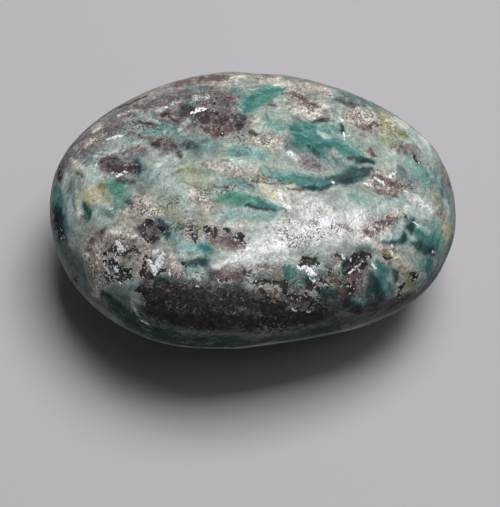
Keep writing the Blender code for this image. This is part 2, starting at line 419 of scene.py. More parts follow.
# %% Draw the frayed tips of fuchsite
SEAFOAM = {
    "pale leaf of the fan": [(319, 132, 2), (325, 136, 3), (331, 135, 2)],
    "left end stripe": [(66, 176, 3), (65, 186, 3), (62, 192, 2)],
    "left, blue white": [(86, 168, 6), (96, 176, 7), (96, 184, 5)],
    "left end, haze": [(67, 196, 3), (71, 214, 4), (74, 232, 4), (72, 246, 3)],
    "under the crest": [(260, 261, 4), (274, 260, 5), (290, 258, 4)],
    "fibres beside the swirl": [(150, 178, 2), (158, 166, 2), (166, 156, 2)],
    "upper left, streak": [(95, 157, 2), (110, 151, 2), (130, 147, 2)],
    "upper left, second streak": [(106, 148, 2), (118, 142, 2)],
    "top, lines": [(178, 130, 2), (190, 120, 2)],
    "front, by the lens": [(182, 254, 3), (176, 258, 3)],
    "front, under the lens": [(190, 275, 3), (198, 278, 3)],
    "right end, cream green": [(446, 228, 3), (447, 236, 2)],
    "low right": [(424, 274, 3), (418, 280, 3)],
    "right, blue white": [(382, 206, 5), (402, 205, 7), (414, 210, 7), (426, 215, 4)],
    "crest, low": [(318, 254, 4), (326, 252, 4)],
    "left, low": [(96, 214, 3), (108, 222, 3)],
    "upright fibres on the right": [(394, 150, 2), (394, 162, 3), (396, 172, 2)],
    "between the blades": [(232, 162, 4), (250, 166, 4)],
    "right edge": [(445, 200, 2), (448, 212, 2)],
    "top, first pale grain": [(172, 104, 3), (182, 102, 2.4)],
    "top, second pale grain": [(196, 98, 2.4), (208, 97, 3)],
    "top, third pale grain": [(158, 112, 2.4), (166, 109, 2)],
    "top, fibres": [(138, 112, 2), (148, 116, 2.4), (158, 122, 2)],
    "right rim, pale": [(407, 128, 4), (420, 140, 5), (430, 152, 5)],
    "right, under the mica": [(384, 238, 4), (398, 234, 4), (402, 222, 3)],
    "knob, hairs": [(418, 225, 2), (429, 232, 2.4)],
    "knob, low hairs": [(406, 232, 2), (414, 240, 2.4)],
}
print("strokes in the frayed tips", len(SEAFOAM))

# %% Draw the cream mica
CREAM = {
    "wedge by the lower blade": [
        (256, 184, 3), (266, 188, 6), (278, 195, 8), (288, 203, 5), (294, 208, 2)
    ],
    "wedge, right arm": [(286, 186, 3), (294, 190, 5), (302, 194, 3)],
    "line through the wedge": [(250, 180, 2), (258, 183, 2)],
    "by the olive grain": [(90, 188, 2), (97, 196, 3), (104, 203, 3), (110, 208, 2)],
    "sliver on the left end": [(77, 192, 2), (78, 202, 3), (79, 212, 3), (79, 220, 1)],
    "left of the middle, beige": [(142, 208, 4), (152, 211, 5), (162, 215, 3)],
    "left, under the dark patch": [(74, 162, 3), (82, 166, 3)],
    "patch on the upper left rim": [(93, 130, 2), (98, 126, 3), (102, 122, 1)],
    "upper rim specks": [(238, 77, 1.6), (246, 77, 2), (230, 79, 1.4)],
    "upper right, below the rim": [(292, 108, 5), (304, 113, 6), (314, 113, 6), (322, 106, 5)],
    "rim, upper left, flecks": [(118, 116, 1.6), (127, 112, 2), (136, 109, 1.4)],
    "top rim, right of the blade": [(262, 82, 3), (276, 82, 3.4), (290, 86, 3)],
    "low left, pale grains": [(88, 240, 3), (91, 256, 5), (95, 268, 5), (98, 282, 5), (96, 295, 4)],
    "upper left rim, low": [(84, 146, 2), (92, 140, 2.4), (104, 134, 2)],
    "left of the middle, pale": [(126, 210, 3), (138, 205, 4), (150, 203, 4), (160, 214, 4)],
    "upper right, round grain": [(256, 141, 3), (263, 143, 4), (268, 144, 3)],
    "upper right, ring": [(272, 141, 2), (278, 139, 2), (282, 143, 2)],
    "right rim, cream": [(394, 121, 4), (402, 123, 5), (406, 126, 3)],
    "right, beige": [(356, 112, 4), (368, 112, 5), (374, 118, 3)],
    "right, pink cream": [(362, 121, 3), (372, 120, 3)],
    "front right, beige": [(376, 246, 3), (384, 250, 3), (392, 256, 3)],
    "front right, fibres": [(398, 256, 2), (404, 262, 4), (411, 267, 3)],
    "front right, upright edge": [(402, 270, 2), (401, 278, 3), (398, 288, 2), (394, 298, 1)],
    "curl on the lower right": [(408, 278, 1), (413, 283, 2), (420, 285, 1)],
    "right, white cream": [(392, 214, 3), (402, 212, 4), (408, 208, 3)],
    "front, by the bright flake": [(170, 254, 4), (174, 262, 4), (178, 270, 3)],
    "low left, above the blobs": [(92, 248, 2), (97, 252, 3), (99, 258, 1)],
    "low left, beige": [(106, 234, 4), (122, 230, 5), (134, 234, 4)],
    "low left, edge of the blob": [(103, 262, 2), (106, 270, 2), (108, 276, 1)],
    "low left, under the blobs": [(104, 282, 3), (107, 288, 3)],
    "by the specks": [(290, 154, 2), (296, 158, 3)],
    "lines by the brown grains": [(192, 190, 1), (198, 196, 2), (206, 200, 2)],
    "low front, pale edge": [(262, 302, 1), (271, 302, 2), (280, 300, 1)],
    "low front, pale line": [(287, 308, 1), (296, 310, 1), (306, 311, 2), (314, 309, 1)],
    "low front, flake": [(350, 280, 2), (356, 278, 2)],
    "dark front, flecks": [(196, 287, 2), (212, 285, 2), (232, 280, 3)],
    "flecks under the crest": [(250, 268, 2), (256, 272, 2)],
    "flecks by the green block": [(276, 280, 2), (281, 289, 2)],
    "flecks in the lower front": [(300, 292, 2), (312, 296, 2)],
    "flecks, lower front, left": [(262, 286, 2), (270, 290, 2.4), (278, 296, 2)],
    "flecks low in the front": [(262, 303, 1.6), (272, 303, 2)],
    "right mica, pale grains": [(370, 181, 2), (378, 187, 2.4)],
    "right mica, pale grains above": [(384, 174, 2), (394, 177, 2)],
    "flecks on the right": [(336, 268, 2), (341, 262, 2)],
    "crack in the belly": [(132, 303, 1), (136, 310, 2), (138, 316, 1)],
    "fleck in the dark front": [(168, 292, 2), (169, 294, 1)],
    "lens, above": [(186, 256, 2), (196, 256, 2)],
    "middle, line under the brow": [(236, 226, 3), (244, 222, 3)],
    "small, upper middle": [(248, 124, 2), (258, 120, 2)],
}
print("strokes in the cream mica", len(CREAM))

# %% Draw the straw stains
STRAW = {
    "grain by the cream line": [(82, 194, 3), (87, 197, 5), (92, 200, 4)],
    "right rim": [(380, 111, 2), (386, 117, 2.8), (391, 123, 2)],
    "right end line": [(444, 222, 2), (447, 230, 3), (448, 238, 3)],
    "small, upper left": [(92, 187, 2), (96, 192, 3), (99, 199, 2)],
    "wedge": [(262, 188, 2), (272, 193, 3), (281, 199, 2)],
    "front right": [(384, 252, 2), (391, 259, 3)],
}
print("strokes in the straw stains", len(STRAW))

# %% Draw the olive stains
OLIVE = {
    "green olive grain": [(101, 184, 4), (104, 190, 6), (106, 198, 4)],
    "upper right rim": [(381, 124, 2), (386, 126, 3)],
    "dark grain on the rim": [(383, 139, 3), (390, 141, 4), (393, 146, 2)],
    "streaks on the right rim": [(396, 128, 2), (402, 132, 2), (408, 138, 2)],
    "right end line": [(433, 191, 1.5), (437, 200, 2), (440, 208, 2.5), (444, 216, 3), (445, 222, 2)],
    "ochre spot, upper right": [(280, 119, 2), (281, 120, 2)],
    "round ochre": [(263, 142, 1.4), (264, 143, 1.4)],
    "orange spot": [(262, 176, 1.5), (266, 178, 2)],
    "ochre in the middle": [(202, 216, 2), (205, 220, 3)],
    "ochre by the dark cluster": [(160, 208, 2), (170, 209, 3)],
    "lower blade, tan end": [(213, 202, 2), (220, 205, 3)],
    "front right, olive": [(408, 276, 3), (414, 284, 3)],
    "front right, gold line": [(384, 252, 2), (390, 258, 2)],
    "low front, olive": [(280, 284, 3), (288, 288, 3), (274, 270, 3)],
    "low front, tawny": [(214, 302, 4), (228, 308, 4)],
    "tawny by the brown grains": [(184, 238, 3), (205, 224, 3), (212, 240, 3)],
    "olive lower right rim": [(400, 300, 4), (412, 292, 4)],
}
print("strokes in the olive stains", len(OLIVE))

# %% [markdown]
# ## Rust and dark mica
#
# Dark mica breaks out of the surface in flakes, and iron stains the rock around it. Rust and umber
# are soft colour, painted as the others are. Specks and black mica are finer than the squares of
# the skin. So their strokes give only a depth, and the material cuts crisp flakes out of it later.

# %% Draw the rust
RUST = {
    "streak on the upper left": [(128, 134, 2), (138, 137, 2.4), (150, 138, 2)],
    "specks above it": [(146, 122, 2), (153, 126, 2)],
    "top rim": [(174, 84, 3), (190, 80, 4), (208, 78, 3.4), (226, 78, 3)],
    "under the top dark patch": [(204, 128, 4), (214, 132, 6), (228, 128, 5)],
    "upper right specks": [(294, 95, 2.4), (300, 97, 3), (306, 101, 2.4)],
    "upper right specks, second": [(312, 104, 2), (318, 106, 2)],
    "right, brown": [(358, 126, 3), (368, 127, 3.4), (376, 125, 2)],
    "brown grains, first": [(184, 226, 2), (190, 232, 4), (193, 240, 3)],
    "brown grains, second": [(204, 230, 3), (210, 234, 4)],
    "brown grains, third": [(228, 242, 3), (234, 246, 4), (244, 246, 3)],
    "red brown under the crest": [(218, 274, 4), (230, 276, 5), (240, 276, 4)],
    "red brown, right of it": [(260, 267, 2), (269, 267, 2.6), (278, 267, 2)],
    "red brown low": [(262, 292, 4), (270, 296, 5), (276, 290, 3)],
    "red brown, front right": [(332, 276, 3), (338, 284, 5), (344, 290, 5)],
    "pits in the front right": [(350, 270, 5), (358, 264, 5), (354, 288, 6)],
    "on the right": [(380, 224, 2.4), (388, 222, 3), (396, 219, 2)],
    "on the right, lower": [(366, 230, 2.4), (374, 234, 2.4), (380, 230, 2.4)],
    "on the crest, right": [(338, 224, 2), (346, 227, 2.6), (351, 231, 2)],
    "on the crest, upper": [(311, 221, 2), (315, 224, 2)],
    "maroon, low left": [(90, 242, 3), (98, 236, 4), (104, 230, 2)],
    "maroon by the beige": [(88, 250, 2), (92, 253, 2.4)],
    "right mica": [(377, 176, 2), (388, 181, 3), (400, 186, 3)],
    "right mica, lower": [(376, 191, 2), (386, 194, 2.6), (398, 196, 2)],
    "small, middle left": [(203, 164, 1.4), (206, 168, 1.4)],
    "left of the swirl": [(101, 164, 3), (106, 170, 4)],
    "dark edge of the swirl": [(118, 178, 2), (128, 177, 2)],
    "low front": [(292, 302, 4), (304, 304, 4)],
    "right pits in black": [(334, 256, 3), (338, 258, 3)],
    "red under the black blobs": [(124, 256, 1.4), (130, 258, 1.4)],
    "edge of the right end": [(440, 214, 1.6), (444, 219, 1.6)],
    "rim at the far left": [(74, 278, 2), (72, 286, 2)],
    "maroon under the blade": [(248, 123, 2), (251, 124, 2)],
    "above the dark end": [(372, 152, 3), (376, 156, 2)],
    "by the curved blade": [(272, 104, 3), (275, 106, 2)],
    "line in the middle": [(214, 187, 1), (226, 187, 1.2), (236, 186, 1)],
    "edge of the wedge": [(252, 181, 1), (262, 182.5, 1.2), (276, 183, 1), (290, 184, 1)],
    "edge of the long blade": [(288, 188, 1), (298, 190, 1.4), (308, 190, 1)],
}
print("strokes in the rust", len(RUST))

# %% Draw the fields of brown specks
RUST_SPECKS = {
    "upper left": [(96, 140, 8), (124, 128, 8), (150, 126, 9), (168, 140, 7)],
    "top": [(176, 100, 10), (204, 104, 14), (230, 98, 12), (216, 130, 10)],
    "upper right": [(292, 98, 9), (312, 106, 8)],
    "right rim": [(356, 116, 10), (376, 120, 9)],
    "right": [(376, 182, 12), (392, 186, 14), (408, 186, 8)],
    "right, lower": [(376, 226, 11), (390, 220, 8)],
    "crest": [(286, 226, 12), (290, 240, 8), (342, 228, 10)],
    "middle line": [(180, 226, 12), (200, 228, 12), (222, 238, 10), (240, 242, 10)],
    "left middle": [(134, 206, 9), (150, 212, 8), (176, 204, 6)],
    "low left": [(92, 262, 9), (104, 284, 8), (112, 240, 9), (144, 256, 10)],
    "front": [(176, 276, 8), (208, 282, 12), (236, 278, 12), (270, 282, 12), (296, 292, 12)],
    "front right": [(326, 284, 10), (350, 274, 14), (352, 292, 10), (388, 254, 7)],
    "middle": [(200, 196, 8), (270, 178, 4), (292, 182, 4)],
    "upper middle": [(254, 132, 9), (268, 142, 6)],
    "upper middle, left": [(238, 138, 8), (246, 146, 6)],
}
print("strokes in the fields of specks", len(RUST_SPECKS))

# %% Draw the dark brown mica
UMBER = {
    "dark cluster": [(141, 230, 5), (148, 228, 7), (156, 232, 6), (152, 239, 5)],
    "front, ragged top of the dark": [
        (156, 285, 3), (180, 287, 4), (204, 287, 4), (230, 290, 5), (250, 293, 4)
    ],
    "swirl, body": [(108, 167, 4), (118, 169, 6), (130, 168, 5)],
    "top, below the rust": [(184, 108, 4), (196, 112, 5), (206, 120, 4)],
    "line on the upper left rim": [
        (80, 134, 1.4), (92, 123, 1.6), (108, 112, 1.2), (121, 107, 1.6), (146, 96, 1.2)
    ],
    "grain, upper left": [(152, 144, 3), (158, 144, 4)],
    "top, first": [(164, 115, 3), (168, 116, 2)],
    "top, second": [(174, 120, 3), (178, 122, 2)],
    "top, green black": [(204, 110, 3), (208, 115, 4), (214, 113, 3)],
    "top, fourth": [(182, 113, 4), (190, 115, 3)],
    "top, fifth": [(218, 122, 3), (226, 119, 3)],
    "upper left, rim grains": [(140, 122, 2), (148, 124, 2.4)],
    "top, purple black": [(234, 116, 4), (242, 119, 5), (238, 126, 3)],
    "by the blade": [(250, 132, 2), (254, 134, 2.4)],
    "rim, olive brown": [(313, 122, 1.2), (320, 121, 2.2), (327, 120, 1.4)],
    "rim, grey brown": [(338, 101, 2), (348, 104, 3), (356, 105, 2)],
    "left, spots": [(84, 163, 1.4), (88, 165, 1.4)],
    "left, patch": [(76, 173, 2), (82, 174, 2.4)],
    "swirl, cap": [(105, 160, 3), (113, 159, 3), (120, 160, 2)],
    "swirl, foot": [(118, 180, 3), (128, 182, 3), (134, 181, 2)],
    "middle left, first": [(172, 144, 3), (176, 147, 3)],
    "middle left, second": [(178, 153, 2.6), (180, 156, 2)],
    "long blade, first spot": [(327, 178, 1.4), (329, 179, 1.4)],
    "long blade, second spot": [(332, 177, 2), (334, 179, 2)],
    "long blade, third spot": [(335, 185, 2), (336, 186, 1.4)],
    "low right, dark": [(330, 300, 5), (346, 298, 4)],
    "lens edge": [(206, 272, 3), (214, 274, 4), (212, 278, 3)],
    "low right rim": [(384, 304, 4), (398, 300, 4), (412, 296, 3)],
    "low right rim, second": [(352, 314, 5), (372, 308, 5)],
}
print("strokes in the dark brown mica", len(UMBER))

# %% Draw the black mica
DARK = {
    "far left line": [(58, 160, 1.6), (59, 170, 1.6), (60, 180, 1.4)],
    "spot in the rust streak": [(133, 129, 1.6), (134, 130, 1.6)],
    "top, hole": [(222, 134, 1.6), (224, 135, 1.6)],
    "far left edge": [(55, 212, 3), (57, 226, 4), (60, 240, 3)],
    "cluster, first": [(141, 228, 2.6), (146, 223, 2.4), (151, 220, 2)],
    "cluster, second": [(143, 236, 2.4), (149, 240, 2.6), (156, 238, 2.6)],
    "cluster, third": [(158, 225, 2), (161, 230, 2.6)],
    "middle line, first": [(189, 227, 3), (191, 229, 2)],
    "middle line, second": [(194, 236, 3), (196, 240, 2)],
    "middle line, third": [(206, 229, 2), (211, 233, 3)],
    "middle line, fourth": [(226, 230, 2), (229, 232, 2)],
    "middle line, fifth": [(236, 238, 2.4), (241, 237, 2.4), (243, 245, 2)],
    "middle line, dot": [(183, 264, 2), (185, 265, 2)],
    "middle line, speck": [(216, 229, 1.4), (214, 238, 1.2)],
    "blob, upper left": [(112, 251, 2.4), (115, 247, 3), (118, 250, 3), (116, 253, 2)],
    "blob, upper right": [(121, 254, 1.6), (127, 251, 2.4), (133, 249, 3), (138, 253, 3)],
    "blob, left": [(112, 264, 3), (116, 262, 2.4), (117, 266, 2)],
    "blob, lower": [(105, 275, 2), (112, 279, 3), (122, 279, 4), (130, 276, 3)],
    "blob, middle": [(121, 268, 4), (126, 272, 5), (119, 274, 3)],
    "blob, right tail": [(130, 270, 3), (136, 267, 1.6)],
    "dots": [(104, 260, 1.6), (103, 262, 1.2)],
    "dots, upper": [(103, 253, 1.2), (109, 255, 1.2)],
    "dot by the flake": [(151, 259, 1.6), (153, 260, 1.4)],
    "dot on the flake": [(161, 267, 1), (161.5, 267.5, 1)],
    "under the bright flake": [(150, 277, 4), (158, 273, 2.4), (166, 270, 2)],
    "left of the bright flake": [(146, 272, 4), (142, 276, 3), (147, 256, 2)],
    # The black mica strokes on the front also darken it as painted shade.
    "dark of the front": [(146, 292, 6), (166, 292, 7), (190, 293, 7), (206, 295, 7)],
    "dark of the front, middle": [(152, 302, 8), (178, 302, 11), (206, 304, 11), (232, 308, 8)],
    "dark of the front, low": [(152, 312, 6), (172, 316, 8), (200, 320, 9), (236, 318, 9)],
    "dark of the front, right": [(222, 296, 5), (244, 304, 7), (262, 308, 8), (284, 312, 7)],
    "dark of the front, far right": [(250, 322, 9), (284, 322, 9), (318, 316, 8)],
    "brown black band": [(254, 283, 3), (268, 282, 2.4), (284, 283, 3), (286, 292, 2.4)],
    "pits under the crest": [(222, 281, 1.6), (232, 279, 1.4)],
    "pits under the crest, right": [(243, 272, 1.6), (250, 277, 2)],
    "pits, lower front": [(262, 290, 2), (268, 297, 2)],
    "pits, lower front, right": [(276, 302, 2.4), (284, 305, 2)],
    "pits by the green block": [(322, 280, 2), (328, 287, 2)],
    "pits right of the slot": [(326, 266, 1.6), (331, 270, 2), (329, 276, 1.4)],
    "brown black band, low": [(290, 298, 4), (306, 298, 5), (316, 304, 6)],
    "black slot": [(302, 262, 3), (308, 261, 4), (315, 262, 4), (319, 264, 2)],
    "black slot, left foot": [(300, 265, 2), (303, 264, 2)],
    "beside the slot": [(340, 258, 2), (337, 254, 2)],
    "right pits": [(352, 260, 4), (360, 256, 4), (368, 254, 3), (370, 258, 2)],
    "right pits, middle": [(347, 272, 3), (356, 268, 4), (364, 264, 3)],
    "right pits, low": [(344, 284, 3), (350, 290, 4), (356, 284, 3)],
    "dark by the green block": [(310, 286, 3), (318, 290, 3)],
    "chip": [(77, 275, 1), (76.5, 281, 1.4), (75, 286, 1)],
    "upright crack": [(403, 284, 1), (400, 291, 2), (397, 298, 2)],
    "right, specks": [(388, 260, 1.6), (382, 255, 1)],
    "right, olive black": [(412, 273, 2), (416, 277, 3), (414, 280, 2)],
    "slash on the right": [(403, 212, 0.8), (408, 218, 1)],
    "tick at the right rim": [(414, 155, 1), (419, 161, 1)],
}
print("strokes in the black mica", len(DARK))

# %% [markdown]
# ## White flakes, painted glints
#
# A few flakes of mica lie just so that they mirror the light, and show as small white spots. Small
# tilted mirrors in the material would show them too, but only from one side and in one light. So
# the brightest flakes are drawn as short white strokes: painted glints, with a few pale cracks among
# them.

# %% Draw the white flakes as painted glints
GLINT = {
    "bright flake": [(155, 272, 3), (159, 266, 4.4), (161, 258, 3.6), (164, 253, 2.4)],
    "bright flake, left": [(150, 262, 1.4), (152, 266, 2), (154, 272, 2)],
    "bright flake, top": [(152, 252, 1.4), (157, 251, 1.4)],
    "blob light": [(119, 243, 1.6), (121, 248, 2), (123, 250, 1)],
    "blob light, left": [(104, 263, 1), (106, 269, 1.6), (108, 273, 1)],
    "blob light, middle": [(116, 270, 1.2), (117, 272, 1)],
    "blob light, upper": [(116, 258, 1), (120, 260, 1)],
    "blob light, low": [(119, 282, 1), (122, 284, 1)],
    "slot flake": [(301, 268, 1.2), (305, 268, 2), (310, 270, 2.6), (313, 275, 2.4)],
    "slot flake, low": [(311, 279, 1.6), (314, 283, 1.4)],
    "slot flake, tip": [(298, 266, 1.2), (300, 268, 1)],
    "flake on the crest": [(320, 221, 2.4), (325, 220, 4), (330, 224, 1.6)],
    "flake on the crest, tail": [(313, 217, 1.4), (318, 220, 1.4)],
    "top glint": [(190, 115, 1), (197, 112, 1.6), (202, 108, 2), (206, 108, 1.4)],
    "top glint, left": [(163, 107, 1), (168, 107, 1)],
    "upper left glint": [(109, 139, 1), (114, 137, 1), (121, 136, 1.2)],
    "fan glint": [(338, 117, 0.8), (342, 120, 1)],
    "wedge flake": [(278, 192, 2), (281, 197, 2.4), (282, 202, 1)],
    "wedge flake, low": [(285, 205, 1.4), (290, 207, 1.2)],
    "right rim glare": [(417, 131, 1.2), (423, 136, 1.6), (430, 143, 1.6)],
    "right glare": [(418, 202, 1.2), (423, 204, 1.6), (428, 207, 1.2)],
    "right mica": [(375, 178, 1.4), (380, 182, 2.4), (384, 184, 1.2)],
    "right mica, upper": [(390, 176, 2), (396, 174, 1.2)],
    "right mica, lower": [(366, 184, 1.6), (370, 187, 2)],
    "right mica, far": [(405, 191, 1.2), (408, 193, 1)],
    "left glints": [(96, 168, 1.2), (98, 162, 1)],
    "line below the swirl": [(114, 177, 0.6), (122, 175, 0.8), (129, 176, 0.6)],
    "left, low glint": [(109, 209, 1), (113, 209, 1)],
    "above the wedge": [(288, 153, 1), (294, 156, 1.6)],
    "long blade glint": [(331, 183, 1), (333, 184, 1)],
    "in the middle": [(188, 202, 1), (190, 203, 1)],
    "front right flecks": [(372, 266, 1.2), (376, 268, 1.4)],
    "front right, first fleck": [(349, 274, 1), (363, 262, 1)],
    "right end dot": [(391, 245, 1.2), (392, 246, 1.2)],
    "knob dot": [(433, 252, 1), (433.5, 253, 1)],
    "knob line": [(414, 221, 0.8), (417, 225, 1)],
    "upright edge": [(399, 283, 1), (399, 289, 1)],
    "chip light": [(139, 319, 0.8), (143, 321, 1), (149, 324, 0.8)],
    "front line": [(196, 286, 1.2), (199, 286, 1)],
    "low front, pale edge": [(267, 302, 0.8), (270, 302, 0.9)],
    "low front, pale line": [(292, 310, 0.7), (296, 311, 0.9)],
    "low front, pale tip": [(307, 312, 0.8), (311, 311, 0.8)],
    "crest crack": [(312, 204, 0.7), (316, 210, 0.7), (319, 217, 0.7)],
    "fan crack": [(344, 132, 0.6), (345, 138, 0.7)],
    "crack in the swirl": [(112, 171, 0.7), (119, 174, 0.8), (127, 172, 0.7)],
    "left end crack": [(80, 206, 0.7), (80, 216, 0.8)],
    "by the slot": [(342, 254, 1), (344, 258, 1.2)],
    "front, left of the flake": [(170, 270, 1), (171, 275, 1)],
}
print("strokes in the white flakes", len(GLINT))

# %% [markdown]
# ## From strokes to the skin
#
# A stroke drawn on the picture reaches the stone along the camera's rays, so it is trusted only
# where the skin faces the camera. The hidden sides get grains of the same kinds: each copies the
# outline of a grain picked at random, turned and laid somewhere out of sight. Both sets fade into
# each other near the outline.

# %% Read the skin as arrays, in millimetres
FACING_FROM = 0.05
FACING_TO = 0.20
corner_count = len(skin_mesh.vertices)
places = np.empty(corner_count * 3)
skin_mesh.vertices.foreach_get("co", places)
places = places.reshape(-1, 3) / MM
normals = np.empty(corner_count * 3)
skin_mesh.vertex_normals.foreach_get("vector", normals)
normals = normals.reshape(-1, 3)


def smooth_step(low_end, high_end, values):
    """0 below the low end, 1 above the high end, and a smooth rise between them."""
    share = np.clip((values - low_end) / (high_end - low_end), 0.0, 1.0)
    return share * share * (3.0 - 2.0 * share)


to_eye = np.array(eye) / MM - places
to_eye /= np.linalg.norm(to_eye, axis=1)[:, None]
in_sight = smooth_step(FACING_FROM, FACING_TO, np.sum(normals * to_eye, axis=1))
print("share of the skin in sight", round(float(in_sight.mean()), 2))

# %% [markdown]
# ## Ragged edges
#
# A grain of mica has a torn edge, but a stroke's edge is smooth. The strokes could be given many
# more points. It is less work to shift each corner of the skin a little before it is compared with
# the strokes, by a smooth noise that sways over about a millimetre and by a finer one. Every noise
# has a seed, so the stone comes out the same each time.

# %% Shift the corners by smooth noises
PIXELS_PER_MM = 12.4
COARSE_LENGTH, COARSE_SHIFT = 0.9, 0.15
FINE_LENGTH, FINE_SHIFT = 0.34, 0.12
# Each field of noise is read at its own offset, so that no two of them are alike.
FIELD_OFFSETS = {"coarse": 3.0, "fine": 17.0, "sheaf": 29.0, "pit": 41.0, "rough": 53.0}
NOISE_SEED = 5
noise.seed_set(NOISE_SEED)  # without a seed the vector noise starts from the clock


def noise_field(name, length):
    """Smooth random vectors, one for each corner, that change over a length in millimetres."""
    offset = Vector((FIELD_OFFSETS[name], 0.0, 0.0))
    return np.array([noise.noise_vector(Vector(place) / length + offset) for place in places])


shifts = COARSE_SHIFT * noise_field("coarse", COARSE_LENGTH)
shifts += FINE_SHIFT * noise_field("fine", FINE_LENGTH)
picture_places = pixels_of(places * MM) + PIXELS_PER_MM * shifts[:, :2]
solid_places = places + shifts
print("largest shift in mm", round(float(np.abs(shifts).max()), 2))

# %% Measure the depth inside a set of strokes
EDGE_DEPTH = 0.5
TINY = 1e-9


def depth_inside(strokes, spots):
    """1 on the middle line of the nearest stroke, 0.5 on its edge, 0 a half width outside it."""
    deepest = np.zeros(len(spots))
    for stroke in strokes:
        line = np.array(stroke, dtype=float)
        for start, end in zip(line[:-1], line[1:]):
            way = end[:-1] - start[:-1]
            gap = spots - start[:-1]
            share = np.clip(gap @ way / (way @ way + TINY), 0.0, 1.0)
            half_width = start[-1] + share * (end[-1] - start[-1])
            away = np.linalg.norm(gap - share[:, None] * way, axis=1)
            deepest = np.maximum(deepest, 1.0 - EDGE_DEPTH * away / half_width)
    return deepest


sample_stroke = [(0.0, 0.0, 1.0), (4.0, 0.0, 1.0)]
sample_spots = np.array([(2.0, 0.0), (2.0, 1.0), (2.0, 2.0)])
print("depth on the line, the edge and outside", depth_inside([sample_stroke], sample_spots))

# %% Pick places for the hidden grains
HALF_SEEN = 0.5
LEVEL_ENOUGH = 0.05
CHANCE_SEED = 11
chance = np.random.default_rng(CHANCE_SEED)


def random_hidden_spot():
    """A point of the skin that the camera doesn't see, with its outward direction."""
    while True:
        index = int(chance.integers(corner_count))
        if in_sight[index] < HALF_SEEN:
            return places[index], normals[index]


def tangent_frame(normal, turn):
    """Two directions along the skin, the first turned by an angle from level."""
    across = np.cross((0.0, 0.0, 1.0), normal)
    if np.linalg.norm(across) < LEVEL_ENOUGH:
        across = np.array((1.0, 0.0, 0.0))
    across /= np.linalg.norm(across)
    first = math.cos(turn) * across + math.sin(turn) * np.cross(normal, across)
    return first, np.cross(normal, first)


print("share of the corners out of sight", round(float((in_sight < HALF_SEEN).mean()), 2))

# %% Copy strokes to the hidden sides
HIDDEN_SHARE = 1.25
HIDDEN_SWING = 0.5


def hidden_copy(stroke):
    """A stroke of the picture laid on the hidden skin, in millimetres."""
    spot, normal = random_hidden_spot()
    first, second = tangent_frame(normal, chance.normal(0.0, HIDDEN_SWING))
    line = np.array(stroke, dtype=float)
    flat = (line[:, :2] - line[:, :2].mean(axis=0)) / PIXELS_PER_MM
    copied = []
    for (right, down), half_width in zip(flat, line[:, 2]):
        loose = Vector((spot + right * first - down * second) * MM)
        nearest = form_tree.find_nearest(loose)[0] / MM
        copied.append((*nearest, half_width / PIXELS_PER_MM))
    return copied


def hidden_strokes(strokes):
    """A seeded pick of copies of the strokes, a little more than there are in sight."""
    kinds = list(strokes.values())
    picks = chance.integers(len(kinds), size=int(HIDDEN_SHARE * len(kinds)))
    return [hidden_copy(kinds[pick]) for pick in picks]


def depth_of(strokes):
    """Depth of every corner in the strokes of the picture and in their hidden copies."""
    seen = depth_inside(strokes.values(), picture_places)
    hidden = depth_inside(hidden_strokes(strokes), solid_places)
    return in_sight * seen + (1.0 - in_sight) * hidden


print("hidden copies for each stroke in sight", HIDDEN_SHARE)

# %% [markdown]
# ## The drift of the fibres
#
# Fuchsite and kyanite grow as sheaves of fibres, each sheaf with its own direction. The skin is
# parted among seed points, and each corner stores how far it lies along and across the direction of
# its nearest seed. A noise stretched on those two numbers then draws fibres that follow the sheaf.

# %% Read the directions from the picture
# Each direction: x, y and the angle in degrees, counter-clockwise from right.
DRIFTS = {
    "left end": (62, 205, 88),
    "left facet": (75, 260, -62),
    "low left field": (100, 275, 80),
    "low left rim": (122, 305, -40),
    "belly, left": (165, 330, -12),
    "belly": (240, 335, 4),
    "belly, right": (330, 320, 18),
    "olive grain": (90, 197, -50),
    "upper left rim": (75, 150, 42),
    "upper left fibres": (115, 150, 22),
    "top rim": (190, 88, 10),
    "top left": (150, 125, 40),
    "grey lines": (186, 124, 45),
    "left of the middle": (165, 168, 48),
    "middle left": (200, 178, 20),
    "middle": (230, 170, 12),
    "left field": (130, 220, 30),
    "middle low": (200, 215, 10),
    "curved blade": (262, 98, 30),
    "upper right": (310, 105, -10),
    "right rim": (385, 125, -25),
    "fan, left leaf": (306, 143, -48),
    "fan, middle leaf": (318, 136, -35),
    "fan, right leaf": (345, 148, -24),
    "long blade": (300, 180, -7),
    "long blade, end": (352, 174, 14),
    "wedge": (278, 196, -35),
    "lower blade": (245, 200, -8),
    "crest, left": (245, 255, 16),
    "crest": (300, 225, 22),
    "crest, right": (345, 215, 35),
    "right fibres": (394, 162, 84),
    "right": (425, 180, 60),
    "right end rim": (442, 208, -68),
    "knob": (425, 240, 40),
    "low right": (385, 275, 60),
    "low right rim": (430, 270, 62),
    "front": (200, 275, -8),
    "front right": (330, 275, -38),
}
drift_spots = np.array([drift[:2] for drift in DRIFTS.values()], dtype=float)
drift_angles = np.radians([drift[2] for drift in DRIFTS.values()])
picture_right = np.array(view_turn.col[0])
picture_up = np.array(view_turn.col[1])
print("directions", len(DRIFTS))

# %% Lay the seeds
SEED_COUNT = 520
SEED_SWING = 24.0
LOOSER_OUT_OF_SIGHT = 2.0


def drift_way(index, swing):
    """Direction along the skin at a corner: read from the picture in sight, near level elsewhere."""
    normal = normals[index]
    if in_sight[index] > HALF_SEEN:
        gaps = np.linalg.norm(drift_spots - picture_places[index], axis=1)
        angle = drift_angles[int(np.argmin(gaps))] + swing
        way = math.cos(angle) * picture_right + math.sin(angle) * picture_up
        way -= normal * (way @ normal)
        return way / np.linalg.norm(way)
    return tangent_frame(normal, LOOSER_OUT_OF_SIGHT * swing)[0]


